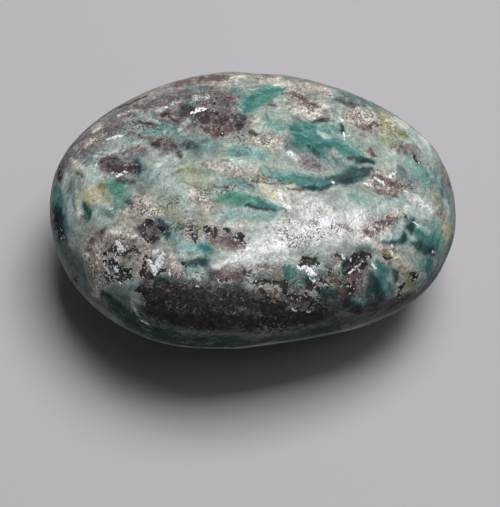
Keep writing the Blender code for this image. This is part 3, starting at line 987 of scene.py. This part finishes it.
seed_corners = chance.choice(corner_count, SEED_COUNT, replace=False)
swings = np.radians(chance.normal(0.0, SEED_SWING, SEED_COUNT))
ways = np.array([drift_way(index, swing) for index, swing in zip(seed_corners, swings)])
crossways = np.cross(normals[seed_corners], ways)
print("sheaves", SEED_COUNT)

# %% Give each corner its sheaf
SHEAF_SHIFT = 0.6
SHEAF_GAP = 7.3

seed_tree = KDTree(SEED_COUNT)
for number, index in enumerate(seed_corners):
    seed_tree.insert(places[index], number)
seed_tree.balance()
ragged = places + SHEAF_SHIFT * noise_field("sheaf", COARSE_LENGTH)
sheaf = np.array([seed_tree.find(Vector(place))[1] for place in ragged])
grain = np.column_stack([
    np.sum(places * ways[sheaf], axis=1),
    np.sum(places * crossways[sheaf], axis=1),
    sheaf * SHEAF_GAP,
])
print("corners in a sheaf, on average", round(corner_count / SEED_COUNT))

# %% [markdown]
# ## Painting the tint
#
# Each layer is laid over the last: its colour shows where the corner lies deep in its strokes, and
# fades out across their edges. Washes fade softly, because the pale mica is a little clear and grains
# shine through from below. Blades and grains fade over a shorter way, and a noise tears their edges.
# Mixing minerals in nodes alone would give one even texture. Colours are on the usual scale of 0 to
# 255, chosen and then adjusted until the finished picture had the tones of the real stone.

# %% List the layers, the lowest first
# Each layer: strokes, colour, strength, softness of its edge, raggedness of its edge.
# The crest wash holds a painted sheen, the lit teal painted light, and the slate, front and deep teal
# layers painted shade.
LAYERS = {
    "seafoam wash": (SEAFOAM_WASH, (173, 190, 181), 0.85, 0.48, 0.20),
    "beige wash": (BEIGE_WASH, (177, 165, 156), 0.85, 0.48, 0.25),
    "steel wash": (STEEL_WASH, (104, 126, 128), 0.85, 0.42, 0.20),
    "crest sheen wash": (CREST_SHEEN_WASH, (234, 233, 229), 0.92, 0.42, 0.15),
    "mauve wash": (MAUVE_WASH, (117, 106, 109), 0.88, 0.40, 0.28),
    "olive wash": (OLIVE_WASH, (150, 150, 118), 0.70, 0.42, 0.20),
    "slate and rim shade wash": (SLATE_AND_RIM_SHADE_WASH, (68, 82, 83), 0.94, 0.40, 0.15),
    "front mica and shade wash": (FRONT_MICA_AND_SHADE_WASH, (50, 52, 54), 0.98, 0.34, 0.15),
    "pale teal": (PALE_TEAL, (106, 153, 147), 0.80, 0.38, 0.22),
    "teal": (TEAL, (52, 116, 112), 0.92, 0.28, 0.18),
    "emerald and lit teal": (EMERALD_AND_LIT_TEAL, (76, 136, 122), 0.90, 0.28, 0.18),
    "deep teal and shade": (DEEP_TEAL_AND_SHADE, (6, 52, 54), 0.92, 0.24, 0.18),
    "seafoam": (SEAFOAM, (191, 204, 200), 0.80, 0.26, 0.24),
    "cream": (CREAM, (218, 212, 202), 0.84, 0.20, 0.32),
    "straw": (STRAW, (202, 194, 152), 0.80, 0.34, 0.25),
    "olive": (OLIVE, (134, 136, 100), 0.75, 0.34, 0.20),
    "rust": (RUST, (105, 82, 79), 0.78, 0.22, 0.45),
    "umber": (UMBER, (59, 51, 55), 0.90, 0.22, 0.42),
}
print("layers", len(LAYERS))

# %% Lay the layers on a ground with painted shade towards the bottom
GROUND = (155, 166, 158)
SHADED_LOW_GROUND = (78, 92, 88)
LOW_FROM, LOW_TO = 8.0, 3.5
FIBRE_STRETCH = (0.7, 3.2, 1.0)

stretched = grain * FIBRE_STRETCH
fibre_noise = np.array([noise.noise(Vector(place)) for place in stretched])
rough_noise = noise_field("rough", FINE_LENGTH)[:, 1]
ragged_noise = (fibre_noise + rough_noise) / 2
low = smooth_step(LOW_FROM, LOW_TO, places[:, 2])[:, None]
tint = (1.0 - low) * np.array(GROUND) + low * np.array(SHADED_LOW_GROUND)
cover = {}
for name, (strokes, colour, strength, softness, raggedness) in LAYERS.items():
    depth = depth_of(strokes) + raggedness * ragged_noise
    share = strength * smooth_step(EDGE_DEPTH - softness, EDGE_DEPTH + softness, depth)
    tint += share[:, None] * (np.array(colour) - tint)
    cover[name] = share
    print(name, "covers", round(float(share.mean()), 3))

# %% Turn screen levels into linear light
TOP_LEVEL = 255.0
SCREEN_KNEE, SCREEN_LINE, SCREEN_LIFT, SCREEN_POWER = 0.04045, 12.92, 0.055, 2.4
MIDDLE_LEVEL = 128


def to_linear(levels):
    """Screen levels, 0 to 255, as the linear light that Blender works in."""
    share = np.asarray(levels, dtype=float) / TOP_LEVEL
    curved = ((share + SCREEN_LIFT) / (1.0 + SCREEN_LIFT)) ** SCREEN_POWER
    return np.where(share <= SCREEN_KNEE, share / SCREEN_LINE, curved)


print("level", MIDDLE_LEVEL, "is linear", round(float(to_linear(MIDDLE_LEVEL)), 3))

# %% Measure the crisp minerals
# Grain share on the front wash, which is dark mica and painted shade.
FRONT_WASH_GRAIN = 0.35

minerals = {
    "specks": depth_of(RUST_SPECKS),
    "dark": depth_of(DARK),
    "glint": depth_of(GLINT),
}
blade_cover = np.maximum.reduce([cover["teal"], cover["emerald and lit teal"], cover["deep teal and shade"]])
grainy_cover = np.maximum.reduce([cover["beige wash"], cover["mauve wash"], cover["rust"]])
grainy_cover = np.clip(grainy_cover + FRONT_WASH_GRAIN * cover["front mica and shade wash"], 0.0, 1.0)
for mineral, depth in minerals.items():
    print(mineral, "covers", round(float((depth > EDGE_DEPTH).mean()), 3))

# %% [markdown]
# ## Handing the paint to the material
#
# A named attribute holds a value for each corner of a mesh, and a material can read it by its name.
# An image could carry the same colours, but it would need a flat layout of the stone. The tint is one
# attribute, and each mineral that the material treats in its own way is another.

# %% Store the tint and the minerals on the skin
def store(name, values):
    """Keep one number for each corner under a name."""
    attribute = skin_mesh.attributes.new(name, "FLOAT", "POINT")
    attribute.data.foreach_set("value", values.astype(np.float32))


def store_vectors(name, values):
    """Keep three numbers for each corner under a name."""
    attribute = skin_mesh.attributes.new(name, "FLOAT_VECTOR", "POINT")
    attribute.data.foreach_set("vector", values.astype(np.float32).ravel())


store_vectors("tint", to_linear(tint))
store_vectors("grain", grain)
store("grainy", grainy_cover)
store("blades", blade_cover)
store("crest_sheen", cover["crest sheen wash"])
store("crunch", np.maximum(cover["rust"], cover["umber"]))
store("polish", 1.0 - cover["front mica and shade wash"])
for mineral, depth in minerals.items():
    store(mineral, depth)
print("stored", [row.name for row in skin_mesh.attributes if row.data_type.startswith("FLOAT")])

# %% [markdown]
# ## Fine relief
#
# Polishing leaves hard kyanite a hair proud, tears flakes out of the dark mica and leaves small
# ledges where two sheaves meet. These are real dents, so the skin is moved, and not only shaded.
# The moves are hundredths of a millimetre, up to a tenth in the deepest pits, and the flat spot
# underneath stays flat.

# %% Press the pits and ledges into the skin
LEDGE = 0.010
PIT_DEPTH, PIT_LENGTH, PIT_LEAST, PIT_EDGE = 0.06, 0.35, 0.55, (0.4, 0.7)
SPECK_DEPTH, SPECK_LEAST, SPECK_EDGE = 0.02, 0.3, (0.3, 0.6)
FLAKE_RISE, FLAKE_EDGE = 0.03, (0.4, 0.6)
BLADE_RISE = 0.015
FIBRE_HEIGHT = 0.010
ROUGH_HEIGHT = 0.014
FLAT_UP_TO = 0.7

pit_noise = noise_field("pit", PIT_LENGTH)[:, 0]
ledges = LEDGE * chance.uniform(-1.0, 1.0, SEED_COUNT)[sheaf]
in_dark = smooth_step(*PIT_EDGE, minerals["dark"])
in_specks = smooth_step(*SPECK_EDGE, minerals["specks"])
height = ledges * (1.0 - blade_cover) + BLADE_RISE * blade_cover
height -= in_dark * PIT_DEPTH * (PIT_LEAST + pit_noise)
height -= SPECK_DEPTH * in_specks * (SPECK_LEAST + rough_noise)
height += FLAKE_RISE * smooth_step(*FLAKE_EDGE, minerals["glint"])
height += FIBRE_HEIGHT * fibre_noise * (1.0 - in_dark) + ROUGH_HEIGHT * rough_noise
height *= smooth_step(0.0, FLAT_UP_TO, places[:, 2])
moved = (places + normals * height[:, None]) * MM
skin_mesh.vertices.foreach_set("co", moved.astype(np.float32).ravel())
skin_mesh.shade_smooth()
skin_mesh.update()
print("relief in mm from", round(float(height.min()), 3), "to", round(float(height.max()), 3))

# %% [markdown]
# ## The stone's material
#
# The stored tint gives each place its broad colour, but real grains are finer than the squares of
# the skin. An image of that fineness would be heavy, and would stretch where the stone curves away.
# Noise nodes are as fine as the picture needs: some follow the fibres of each sheaf and some have no
# direction. The first cells below make helpers that add nodes, so that each later line says one
# thing about the colour.

# %% Make helpers that add nodes
stone_finish = bpy.data.materials.new("fuchsite_kyanite_stone")
stone_finish.use_nodes = True
tree = stone_finish.node_tree


def paint(levels):
    """Screen levels as a colour that a socket takes."""
    return (*[float(value) for value in to_linear(levels)], 1.0)


def put(kind, values, **settings):
    """Add a node; values pairs each socket with a number, a colour or another node's output."""
    made = tree.nodes.new(kind)
    for name, setting in settings.items():
        setattr(made, name, setting)
    for socket, value in values.items():
        if isinstance(value, bpy.types.NodeSocket):
            tree.links.new(value, made.inputs[socket])
        else:
            made.inputs[socket].default_value = value
    return made


def stored(name, output="Fac"):
    """An attribute of the skin."""
    return put("ShaderNodeAttribute", {}, attribute_name=name).outputs[output]


print("middle grey for a socket", [round(value, 3) for value in paint((MIDDLE_LEVEL,) * 3)])

# %% Make helpers for numbers and colours
def reckon(operation, first, second=0.0):
    """One step of arithmetic on numbers or on other nodes' outputs."""
    return put("ShaderNodeMath", {0: first, 1: second}, operation=operation).outputs[0]


def times(first, second):
    """A product."""
    return reckon("MULTIPLY", first, second)


def larger(first, second):
    """The larger of two values."""
    return reckon("MAXIMUM", first, second)


def weigh(first, second, share=0.5):
    """A weighted sum of two noises, half of each unless a share is given."""
    return reckon("ADD", times(first, 1.0 - share), times(second, share))


def fade(value, low_end, high_end, low_value=0.0, high_value=1.0):
    """Smooth step of a value between two ends."""
    values = {0: value, 1: low_end, 2: high_end, 3: low_value, 4: high_value}
    return put("ShaderNodeMapRange", values, interpolation_type="SMOOTHSTEP").outputs[0]


def mix_colours(share, first, second, blend_type="MIX"):
    """The first colour with a share of the second laid over it."""
    values = {0: share, 6: first, 7: second}
    return put("ShaderNodeMix", values, data_type="RGBA", blend_type=blend_type).outputs[2]


def reckon_vector(operation, *parts):
    """One step of arithmetic on vectors or colours."""
    return put("ShaderNodeVectorMath", dict(enumerate(parts)), operation=operation).outputs[0]


print("nodes before the first colour", len(tree.nodes))

# %% Make helpers for noises
PLAIN_ROUGHNESS = 0.6
MIDDLE_TONE = 0.5
CRISP_SOFTNESS = 0.04


def cloud(vector, scale, detail, roughness=PLAIN_ROUGHNESS):
    """A soft noise, near one half on average."""
    values = {"Vector": vector, "Scale": scale, "Detail": detail, "Roughness": roughness}
    return put("ShaderNodeTexNoise", values).outputs["Fac"]


def stretch(vector, scale, turn=0.0):
    """A place turned and multiplied, so that a noise read there is squeezed."""
    values = {"Vector": vector, "Scale": scale, "Rotation": (0.0, 0.0, math.radians(turn))}
    return put("ShaderNodeMapping", values).outputs[0]


def cell_colour(vector, scale):
    """One random colour for each flat-sided cell."""
    return put("ShaderNodeTexVoronoi", {"Vector": vector, "Scale": scale}).outputs["Color"]


def tones_of(colour):
    """Three random tones, the red, green and blue of a cell's colour."""
    return put("ShaderNodeSeparateColor", {0: colour}).outputs


def ridge(value, half_width):
    """1 where a noise crosses one half, falling to 0 a little to both sides: thin lines."""
    away = reckon("ABSOLUTE", reckon("SUBTRACT", value, MIDDLE_TONE))
    return fade(away, 0.0, half_width, 1.0, 0.0)


def crisp(level):
    """A nearly sharp cut of a level at the depth of an edge."""
    return fade(level, EDGE_DEPTH - CRISP_SOFTNESS, EDGE_DEPTH + CRISP_SOFTNESS)


def scatter(level, tones, reaches):
    """Add centred random tones, each with its own reach, to a stored depth."""
    for tone, reach in zip(tones, reaches):
        level = reckon("ADD", level, times(reckon("SUBTRACT", tone, MIDDLE_TONE), reach))
    return level


print("a crisp cut runs over", 2 * CRISP_SOFTNESS, "of a depth")

# %% Lay the places that the noises read
MM_IN_METRE = 1000.0
BEND_SCALE, BEND_DETAIL = 0.9, 2.0
SHEAF_BEND = (0.9, 1.5, 0.0)
CELL_BEND = (0.25, 0.25, 0.25)

where = put("ShaderNodeTexCoord", {}).outputs["Object"]
in_mm = stretch(where, (MM_IN_METRE,) * 3)
bend_values = {"Vector": in_mm, "Scale": BEND_SCALE, "Detail": BEND_DETAIL}
bend = put("ShaderNodeTexNoise", bend_values).outputs["Color"]
sheaf_place = reckon_vector("MULTIPLY_ADD", bend, SHEAF_BEND, stored("grain", "Vector"))
cell_place = reckon_vector("MULTIPLY_ADD", bend, CELL_BEND, in_mm)
print("nodes so far", len(tree.nodes))

# %% Make the noises that follow the fibres
PLATE_STRETCH = (0.7, 2.1, 1.0)
# Each noise: its stretch along and across the fibres, turn in degrees, detail and roughness.
FIBRE_NOISES = {
    "wisps": ((0.35, 1.5, 1.0), 0.0, 5.0, 0.62),
    "strands": ((0.8, 5.5, 1.0), 0.0, 2.0, PLAIN_ROUGHNESS),
    "cross strands": ((4.6, 0.9, 1.0), 35.0, 2.0, PLAIN_ROUGHNESS),
}
wisps, strands, cross_strands = [
    cloud(stretch(sheaf_place, size, turn), 1.0, detail, roughness)
    for size, turn, detail, roughness in FIBRE_NOISES.values()
]
plates = tones_of(cell_colour(stretch(sheaf_place, PLATE_STRETCH), 1.0))
print("noises along the fibres", [*FIBRE_NOISES, "plates"])

# %% Make the noises that have no direction
PATCH_STRETCH, PATCH_DETAIL = (0.7, 0.7, 0.9), 4.0
MOTTLE_SCALE, MOTTLE_DETAIL, MOTTLE_ROUGHNESS = 0.9, 6.0, 0.68
GRAIN_SCALE, GRAIN_DETAIL = 5.0, 3.0
SHARD_SCALE, CHIP_SCALE, CRUMB_SCALE = 2.3, 4.6, 9.0

patches = cloud(stretch(in_mm, PATCH_STRETCH), 1.0, PATCH_DETAIL)
mottle = cloud(in_mm, MOTTLE_SCALE, MOTTLE_DETAIL, MOTTLE_ROUGHNESS)
grains = cloud(in_mm, GRAIN_SCALE, GRAIN_DETAIL)
shards = tones_of(cell_colour(cell_place, SHARD_SCALE))
chips = tones_of(cell_colour(cell_place, CHIP_SCALE))
crumb_colour = cell_colour(cell_place, CRUMB_SCALE)
crumbs = tones_of(crumb_colour)
print("cells are about", [round(1.0 / scale, 2) for scale in (SHARD_SCALE, CHIP_SCALE, CRUMB_SCALE)], "mm")

# %% Lay a haze over the tint
TEAL_HAZE, TEAL_HAZE_EDGE = (86, 130, 122), (0.53, 0.70)
BEIGE_HAZE, BEIGE_HAZE_EDGE = (171, 159, 149), (0.54, 0.72)
HAZE_SHARE, HAZE_LOST_ON_BLADES = 0.35, 0.28

grainy = stored("grainy")
blades = stored("blades")
# The crest wash is pale mica with a painted sheen; its mask also places frost and veins.
crest_sheen = stored("crest_sheen")
colour = stored("tint", "Vector")
haze = reckon("SUBTRACT", HAZE_SHARE, times(blades, HAZE_LOST_ON_BLADES))
colour = mix_colours(times(fade(patches, *TEAL_HAZE_EDGE), haze), colour, paint(TEAL_HAZE))
colour = mix_colours(times(fade(mottle, *BEIGE_HAZE_EDGE), haze), colour, paint(BEIGE_HAZE))
print("haze on", HAZE_SHARE, "of the ground at most")

# %% Shade the fibres, plates and crumbs
# Each shading: the ends of the noise that it follows, and the greys it multiplies by at those ends.
SHADINGS = {
    "wisps": ((0.34, 0.66), (0.76, 1.22)),
    "plates": ((0.1, 0.9), (0.84, 1.13)),
    "grains": ((0.36, 0.64), (0.78, 1.22)),
    "crumbs": ((0.26, 0.74), (0.42, 1.68)),
    "shards": ((0.2, 0.8), (0.80, 1.16)),
}
STRANDS_IN_GRAINS = 0.4
CRUMBS_IN_CHIPS = 0.4
CRUMBLE_EVERYWHERE, CRUMBLE_WHERE_GRAINY, CRUMBLE_ON_CREST_SHEEN = 0.2, 0.5, 0.5


def shade_by(colour, tone, name):
    """Multiply a colour by a grey that follows a noise."""
    ends, greys = SHADINGS[name]
    grey = put("ShaderNodeCombineColor", {})
    level = fade(tone, *ends, *greys)
    for socket in grey.inputs:
        tree.links.new(level, socket)
    return mix_colours(1.0, colour, grey.outputs[0], "MULTIPLY")


colour = shade_by(colour, wisps, "wisps")
colour = shade_by(colour, plates[0], "plates")
colour = shade_by(colour, weigh(grains, strands, STRANDS_IN_GRAINS), "grains")
crumbled = shade_by(colour, weigh(chips[0], crumbs[1], CRUMBS_IN_CHIPS), "crumbs")
crumbled = shade_by(crumbled, shards[2], "shards")
crumble = reckon("ADD", times(grainy, CRUMBLE_WHERE_GRAINY), CRUMBLE_EVERYWHERE)
crumble = larger(stored("crunch"), crumble)
crumble = larger(crumble, times(crest_sheen, CRUMBLE_ON_CREST_SHEEN))
colour = mix_colours(crumble, colour, crumbled)
print("shadings", list(SHADINGS))

# %% Draw pale strands and darker patches that follow a noise
STRAND_COLOUR = (224, 230, 220)
DARK_MOTTLE_COLOUR = (48, 64, 62)
STRAND_WIDTH, CROSS_STRAND_WIDTH, CROSS_STRAND_SHARE = 0.035, 0.03, 0.6
STRANDS_BY_WISPS = (0.40, 0.62, 0.0, 0.60)
STRANDS_BY_BLADES = (0.2, 1.0, 1.0, 0.4)
DARK_MOTTLE_EDGE, DARK_MOTTLE_SHARE = (0.42, 0.28), 0.45

cross_lines = times(ridge(cross_strands, CROSS_STRAND_WIDTH), CROSS_STRAND_SHARE)
lines = larger(ridge(strands, STRAND_WIDTH), cross_lines)
line_share = times(lines, fade(wisps, *STRANDS_BY_WISPS))
line_share = times(line_share, fade(blades, *STRANDS_BY_BLADES))
line_share = times(line_share, reckon("SUBTRACT", 1.0, grainy))
colour = mix_colours(line_share, colour, paint(STRAND_COLOUR))
dark_mottle_share = times(fade(mottle, *DARK_MOTTLE_EDGE), DARK_MOTTLE_SHARE)
colour = mix_colours(dark_mottle_share, colour, paint(DARK_MOTTLE_COLOUR))
print("nodes so far", len(tree.nodes))

# %% [markdown]
# ## Grains, mica and flakes
#
# The rest of the colour is crisp. Black mica and the white flakes, which are painted glints, have torn,
# flat-sided edges, but their stored depth is smooth. Adding the random tones of small cells to the
# depth, and cutting the sum at one half, gives an edge of whole cells: each cell is either mica or not.
# Veins are the thin lines where a noise crosses one half.

# %% Add cream grains and veins
CREAM_GRAIN, CREAM_MIX, CREAM_EDGE, CREAM_SHARE = (213, 203, 190), 0.55, (0.53, 0.62), 0.55
BROWN_VEIN, BROWN_VEIN_WIDTH, BROWN_VEIN_SHARE = (104, 78, 70), 0.022, 0.5
GREY_VEIN, GREY_VEIN_WIDTH, GREY_VEIN_SHARE = (148, 146, 140), 0.018, 0.4

cream_share = times(fade(weigh(grains, mottle, CREAM_MIX), *CREAM_EDGE), times(grainy, CREAM_SHARE))
colour = mix_colours(cream_share, colour, paint(CREAM_GRAIN))
brown_veins = times(ridge(mottle, BROWN_VEIN_WIDTH), times(grainy, BROWN_VEIN_SHARE))
colour = mix_colours(brown_veins, colour, paint(BROWN_VEIN))
grey_veins = times(ridge(weigh(grains, mottle), GREY_VEIN_WIDTH), times(crest_sheen, GREY_VEIN_SHARE))
colour = mix_colours(grey_veins, colour, paint(GREY_VEIN))
print("nodes so far", len(tree.nodes))

# %% Add brown specks and black mica
SPECK_BROWN, SPECK_DARK = (92, 72, 65), (42, 34, 34)
SPECK_LEVEL, SPECK_REACHES, SPECK_SHARE = 0.44, (0.55, 0.9, 0.2), 0.85
MICA_BLACK, MICA_BROWN, MICA_GREY = (33, 31, 33), (60, 53, 50), (88, 84, 85)
MICA_REACHES = (0.45, 0.45, 0.12, 0.3)
BROWN_EDGE, GREY_EDGE = (0.38, 0.70), (0.72, 0.75)

speck_depth = times(stored("specks"), SPECK_LEVEL)
speck_cover = crisp(scatter(speck_depth, (crumbs[0], mottle, chips[0]), SPECK_REACHES))
speck = mix_colours(crisp(crumbs[1]), paint(SPECK_BROWN), paint(SPECK_DARK))
colour = mix_colours(times(speck_cover, SPECK_SHARE), colour, speck)
dark_depth = stored("dark")
dark_cover = crisp(scatter(dark_depth, (shards[0], chips[0], crumbs[0], grains), MICA_REACHES))
mica = mix_colours(fade(weigh(shards[1], chips[1]), *BROWN_EDGE), paint(MICA_BLACK), paint(MICA_BROWN))
mica = mix_colours(fade(weigh(crumbs[1], mottle), *GREY_EDGE), mica, paint(MICA_GREY))
colour = mix_colours(dark_cover, colour, mica)
print("nodes so far", len(tree.nodes))

# %% Add painted glints: white flakes, frost on the crest and splinters beside dark mica
GLINT_WHITE, GLINT_LILAC, LILAC_EDGE = (250, 251, 255), (168, 170, 184), (0.80, 0.84)
GLINT_REACHES = (0.5, 0.35)
CREST_GLINT_EDGE = (0.82, 0.86)
SPARK_EDGE, SPARK_PATCH_EDGE, SPARK_SHARE = (0.88, 0.90), (0.56, 0.60), 0.7
NEAR_DARK_EDGE, SPLINTER_GLINT_EDGE = (0.15, 0.50), (0.78, 0.82)
GLINT_SHARE = 0.7

painted_sparkles = times(fade(crumbs[2], *SPARK_EDGE), fade(mottle, *SPARK_PATCH_EDGE))
painted_glints = times(fade(crumbs[2], *CREST_GLINT_EDGE), crest_sheen)
painted_glints = larger(painted_glints, times(painted_sparkles, times(grainy, SPARK_SHARE)))
near_dark = times(fade(dark_depth, *NEAR_DARK_EDGE), stored("polish"))
painted_glints = larger(painted_glints, times(fade(weigh(crumbs[2], chips[2]), *SPLINTER_GLINT_EDGE), near_dark))
glint_cover = crisp(scatter(stored("glint"), (chips[2], crumbs[2]), GLINT_REACHES))
glint_cover = larger(glint_cover, times(painted_glints, GLINT_SHARE))
# The colour of the painted glints, white with a touch of lilac.
flake = mix_colours(fade(crumbs[0], *LILAC_EDGE), paint(GLINT_WHITE), paint(GLINT_LILAC))
colour = mix_colours(glint_cover, colour, flake)
print("nodes so far", len(tree.nodes))

# %% [markdown]
# ## The polish
#
# Hard kyanite and pale mica take a wet-looking polish, while dark mica stays dull and its flakes tilt
# this way and that. One gloss for the whole stone would look like varnish. So a clear coat lies on
# all but the dark parts, the roughness follows the grain, and the shading direction is tilted from
# cell to cell where there is mica.

# %% Set the roughness and the coat
COAT_WEIGHT = 0.28
MICA_IN_SPECKS = 0.7
COAT_BY_BLADES = (0.2, 1.0, 1.0, 0.3)
ROUGHNESS_BY_GRAIN = (0.35, 0.65, 0.32, 0.46)
ROUGHER_ON_MICA, ROUGHER_ON_BLADES = 0.15, 0.35

mica_cover = larger(dark_cover, times(speck_cover, MICA_IN_SPECKS))
polish = times(reckon("SUBTRACT", 1.0, mica_cover), stored("polish"))
polish = times(polish, fade(blades, *COAT_BY_BLADES))
rougher = larger(times(mica_cover, ROUGHER_ON_MICA), times(blades, ROUGHER_ON_BLADES))
roughness = reckon("ADD", fade(weigh(grains, strands), *ROUGHNESS_BY_GRAIN), rougher)
coat = times(polish, COAT_WEIGHT)
print("nodes so far", len(tree.nodes))

# %% Tilt the flakes and raise fine bumps
BUMP_STRENGTH = 0.6
BUMP_DISTANCE = 0.00003
FACET_TILT = 0.30
TILT_MIX, TILT_IN_CRUMBS = 0.4, 0.6

bump_values = {"Strength": BUMP_STRENGTH, "Distance": BUMP_DISTANCE, "Height": weigh(strands, grains)}
bump = put("ShaderNodeBump", bump_values).outputs[0]
tilt = reckon_vector("SUBTRACT", crumb_colour, (MIDDLE_TONE,) * 3)
tilt_share = weigh(mica_cover, times(crisp(crumbs[1]), TILT_IN_CRUMBS), TILT_MIX)
tilted = reckon_vector("MULTIPLY_ADD", tilt, times(tilt_share, FACET_TILT), bump)
facing_way = reckon_vector("NORMALIZE", tilted)
print("nodes so far", len(tree.nodes))

# %% Join everything in the shader
INDEX = 1.42
COAT_ROUGHNESS = 0.17

shader = tree.nodes["Principled BSDF"]
tree.links.new(colour, shader.inputs["Base Color"])
tree.links.new(roughness, shader.inputs["Roughness"])
tree.links.new(facing_way, shader.inputs["Normal"])
tree.links.new(coat, shader.inputs["Coat Weight"])
shader.inputs["IOR"].default_value = INDEX
shader.inputs["Coat Roughness"].default_value = COAT_ROUGHNESS
skin_mesh.materials.append(stone_finish)
print("nodes in the stone's material", len(tree.nodes))

# %% [markdown]
# ## The piece
#
# The skin becomes one object that stands in for the plain solid of the design. It stays unturned
# and unscaled, because its corners already are where the stone is.

# %% Make the stone from its skin
stone_skin = bpy.data.objects.new("stone_skin", skin_mesh)
bpy.context.scene.collection.objects.link(stone_skin)
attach(stone_skin, "root")
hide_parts("polished_stone")
print("triangles in the skin", sum(len(face.vertices) - 2 for face in skin_mesh.polygons))

# %% [markdown]
# ## The floor
#
# The stone lies on plain pale grey paper. It could be a plane with a plain material that nothing
# treats in a special way, but its reflection would lighten the underside, which on the real stone
# stays nearly black. So the paper is left out of what the polish mirrors.

# %% Lay the floor
FLOOR_SIZE = 1.6
FLOOR_DROP = 0.00002
FLOOR_COLOUR = (0.515, 0.50, 0.515)
FLOOR_ROUGHNESS = 0.6


def floor_material():
    """Plain matt grey."""
    material = bpy.data.materials.new("grey_paper")
    material.use_nodes = True
    shader = material.node_tree.nodes["Principled BSDF"]
    shader.inputs["Base Color"].default_value = (*FLOOR_COLOUR, 1.0)
    shader.inputs["Roughness"].default_value = FLOOR_ROUGHNESS
    return material


sheet = bmesh.new()
bmesh.ops.create_grid(sheet, x_segments=1, y_segments=1, size=FLOOR_SIZE / 2)
bmesh.ops.translate(sheet, vec=(0.0, 0.0, -FLOOR_DROP), verts=sheet.verts[:])
floor_mesh = bpy.data.meshes.new("floor")
sheet.to_mesh(floor_mesh)
sheet.free()
floor_mesh.materials.append(floor_material())
floor = bpy.data.objects.new("floor", floor_mesh)
floor.visible_glossy = False
bpy.context.scene.collection.objects.link(floor)
print("floor", FLOOR_SIZE, "m wide")

# %% [markdown]
# ## The light
#
# A large soft box, a little behind the stone, lights its surface and casts the soft shadow in front.
# A second box gives the milky sheen along the crest. One box could do both, but the place that gives
# the right shadow gives a sheen in the wrong place. So the first box is hidden from the polish, and
# the second shows in the polish alone. A dim room fills the rest, a little brighter in the polish,
# because a real room has windows and lamps that a gloss picks up.

# %% Hang the soft boxes
KEY_DIRECTION = Vector((0.155, 0.27, 0.95))
KEY_DISTANCE = 0.40
KEY_SIZE = (0.24, 0.20)
KEY_POWER = 1.66
SHEEN_DIRECTION = Vector((0.30, -0.17, 0.92))
SHEEN_DISTANCE = 0.40
SHEEN_SIZE = (0.36, 0.14)
SHEEN_POWER = 1.05


def soft_box(name, direction, distance, size, power, in_gloss=True, in_diffuse=True):
    """Area light aimed at the stone, its long side level."""
    lamp = bpy.data.lights.new(name, "AREA")
    lamp.shape = "RECTANGLE"
    lamp.size, lamp.size_y = size
    lamp.energy = power
    box = bpy.data.objects.new(name, lamp)
    outward = direction.normalized()
    long_side = Vector((0.0, 1.0, 0.0)).cross(outward).normalized()
    short_side = outward.cross(long_side)
    turn = Matrix((long_side, short_side, outward)).transposed()
    box.matrix_world = Matrix.Translation(AIM + outward * distance) @ turn.to_4x4()
    box.visible_glossy = in_gloss
    box.visible_diffuse = in_diffuse
    bpy.context.scene.collection.objects.link(box)


soft_box("key_box", KEY_DIRECTION, KEY_DISTANCE, KEY_SIZE, KEY_POWER, in_gloss=False)
soft_box("sheen_box", SHEEN_DIRECTION, SHEEN_DISTANCE, SHEEN_SIZE, SHEEN_POWER, in_diffuse=False)
print("soft boxes", [light.name for light in bpy.data.lights])

# %% Set the dim room
WORLD_COLOUR = (0.80, 0.84, 0.90, 1.0)
WORLD_STRENGTH = 0.05
WORLD_IN_GLOSS = 0.12

world = bpy.data.worlds.new("dim_room")
world.use_nodes = True
room = world.node_tree
background = room.nodes["Background"]
background.inputs["Color"].default_value = WORLD_COLOUR
light_path = room.nodes.new("ShaderNodeLightPath")
strength = room.nodes.new("ShaderNodeMath")
strength.operation = "MULTIPLY_ADD"
room.links.new(light_path.outputs["Is Glossy Ray"], strength.inputs[0])
strength.inputs[1].default_value = WORLD_IN_GLOSS
strength.inputs[2].default_value = WORLD_STRENGTH
room.links.new(strength.outputs[0], background.inputs["Strength"])
bpy.context.scene.world = world
print("room", WORLD_STRENGTH, "and in the polish", WORLD_STRENGTH + WORLD_IN_GLOSS)

# %% [markdown]
# ## The last settings
#
# Blender's usual tone curve softens bright colours, which greys the white flakes. The plain curve
# keeps the painted levels.

# %% Set the plain tone curve
bpy.context.scene.view_settings.view_transform = "Standard"
print("tone curve", bpy.context.scene.view_settings.view_transform)
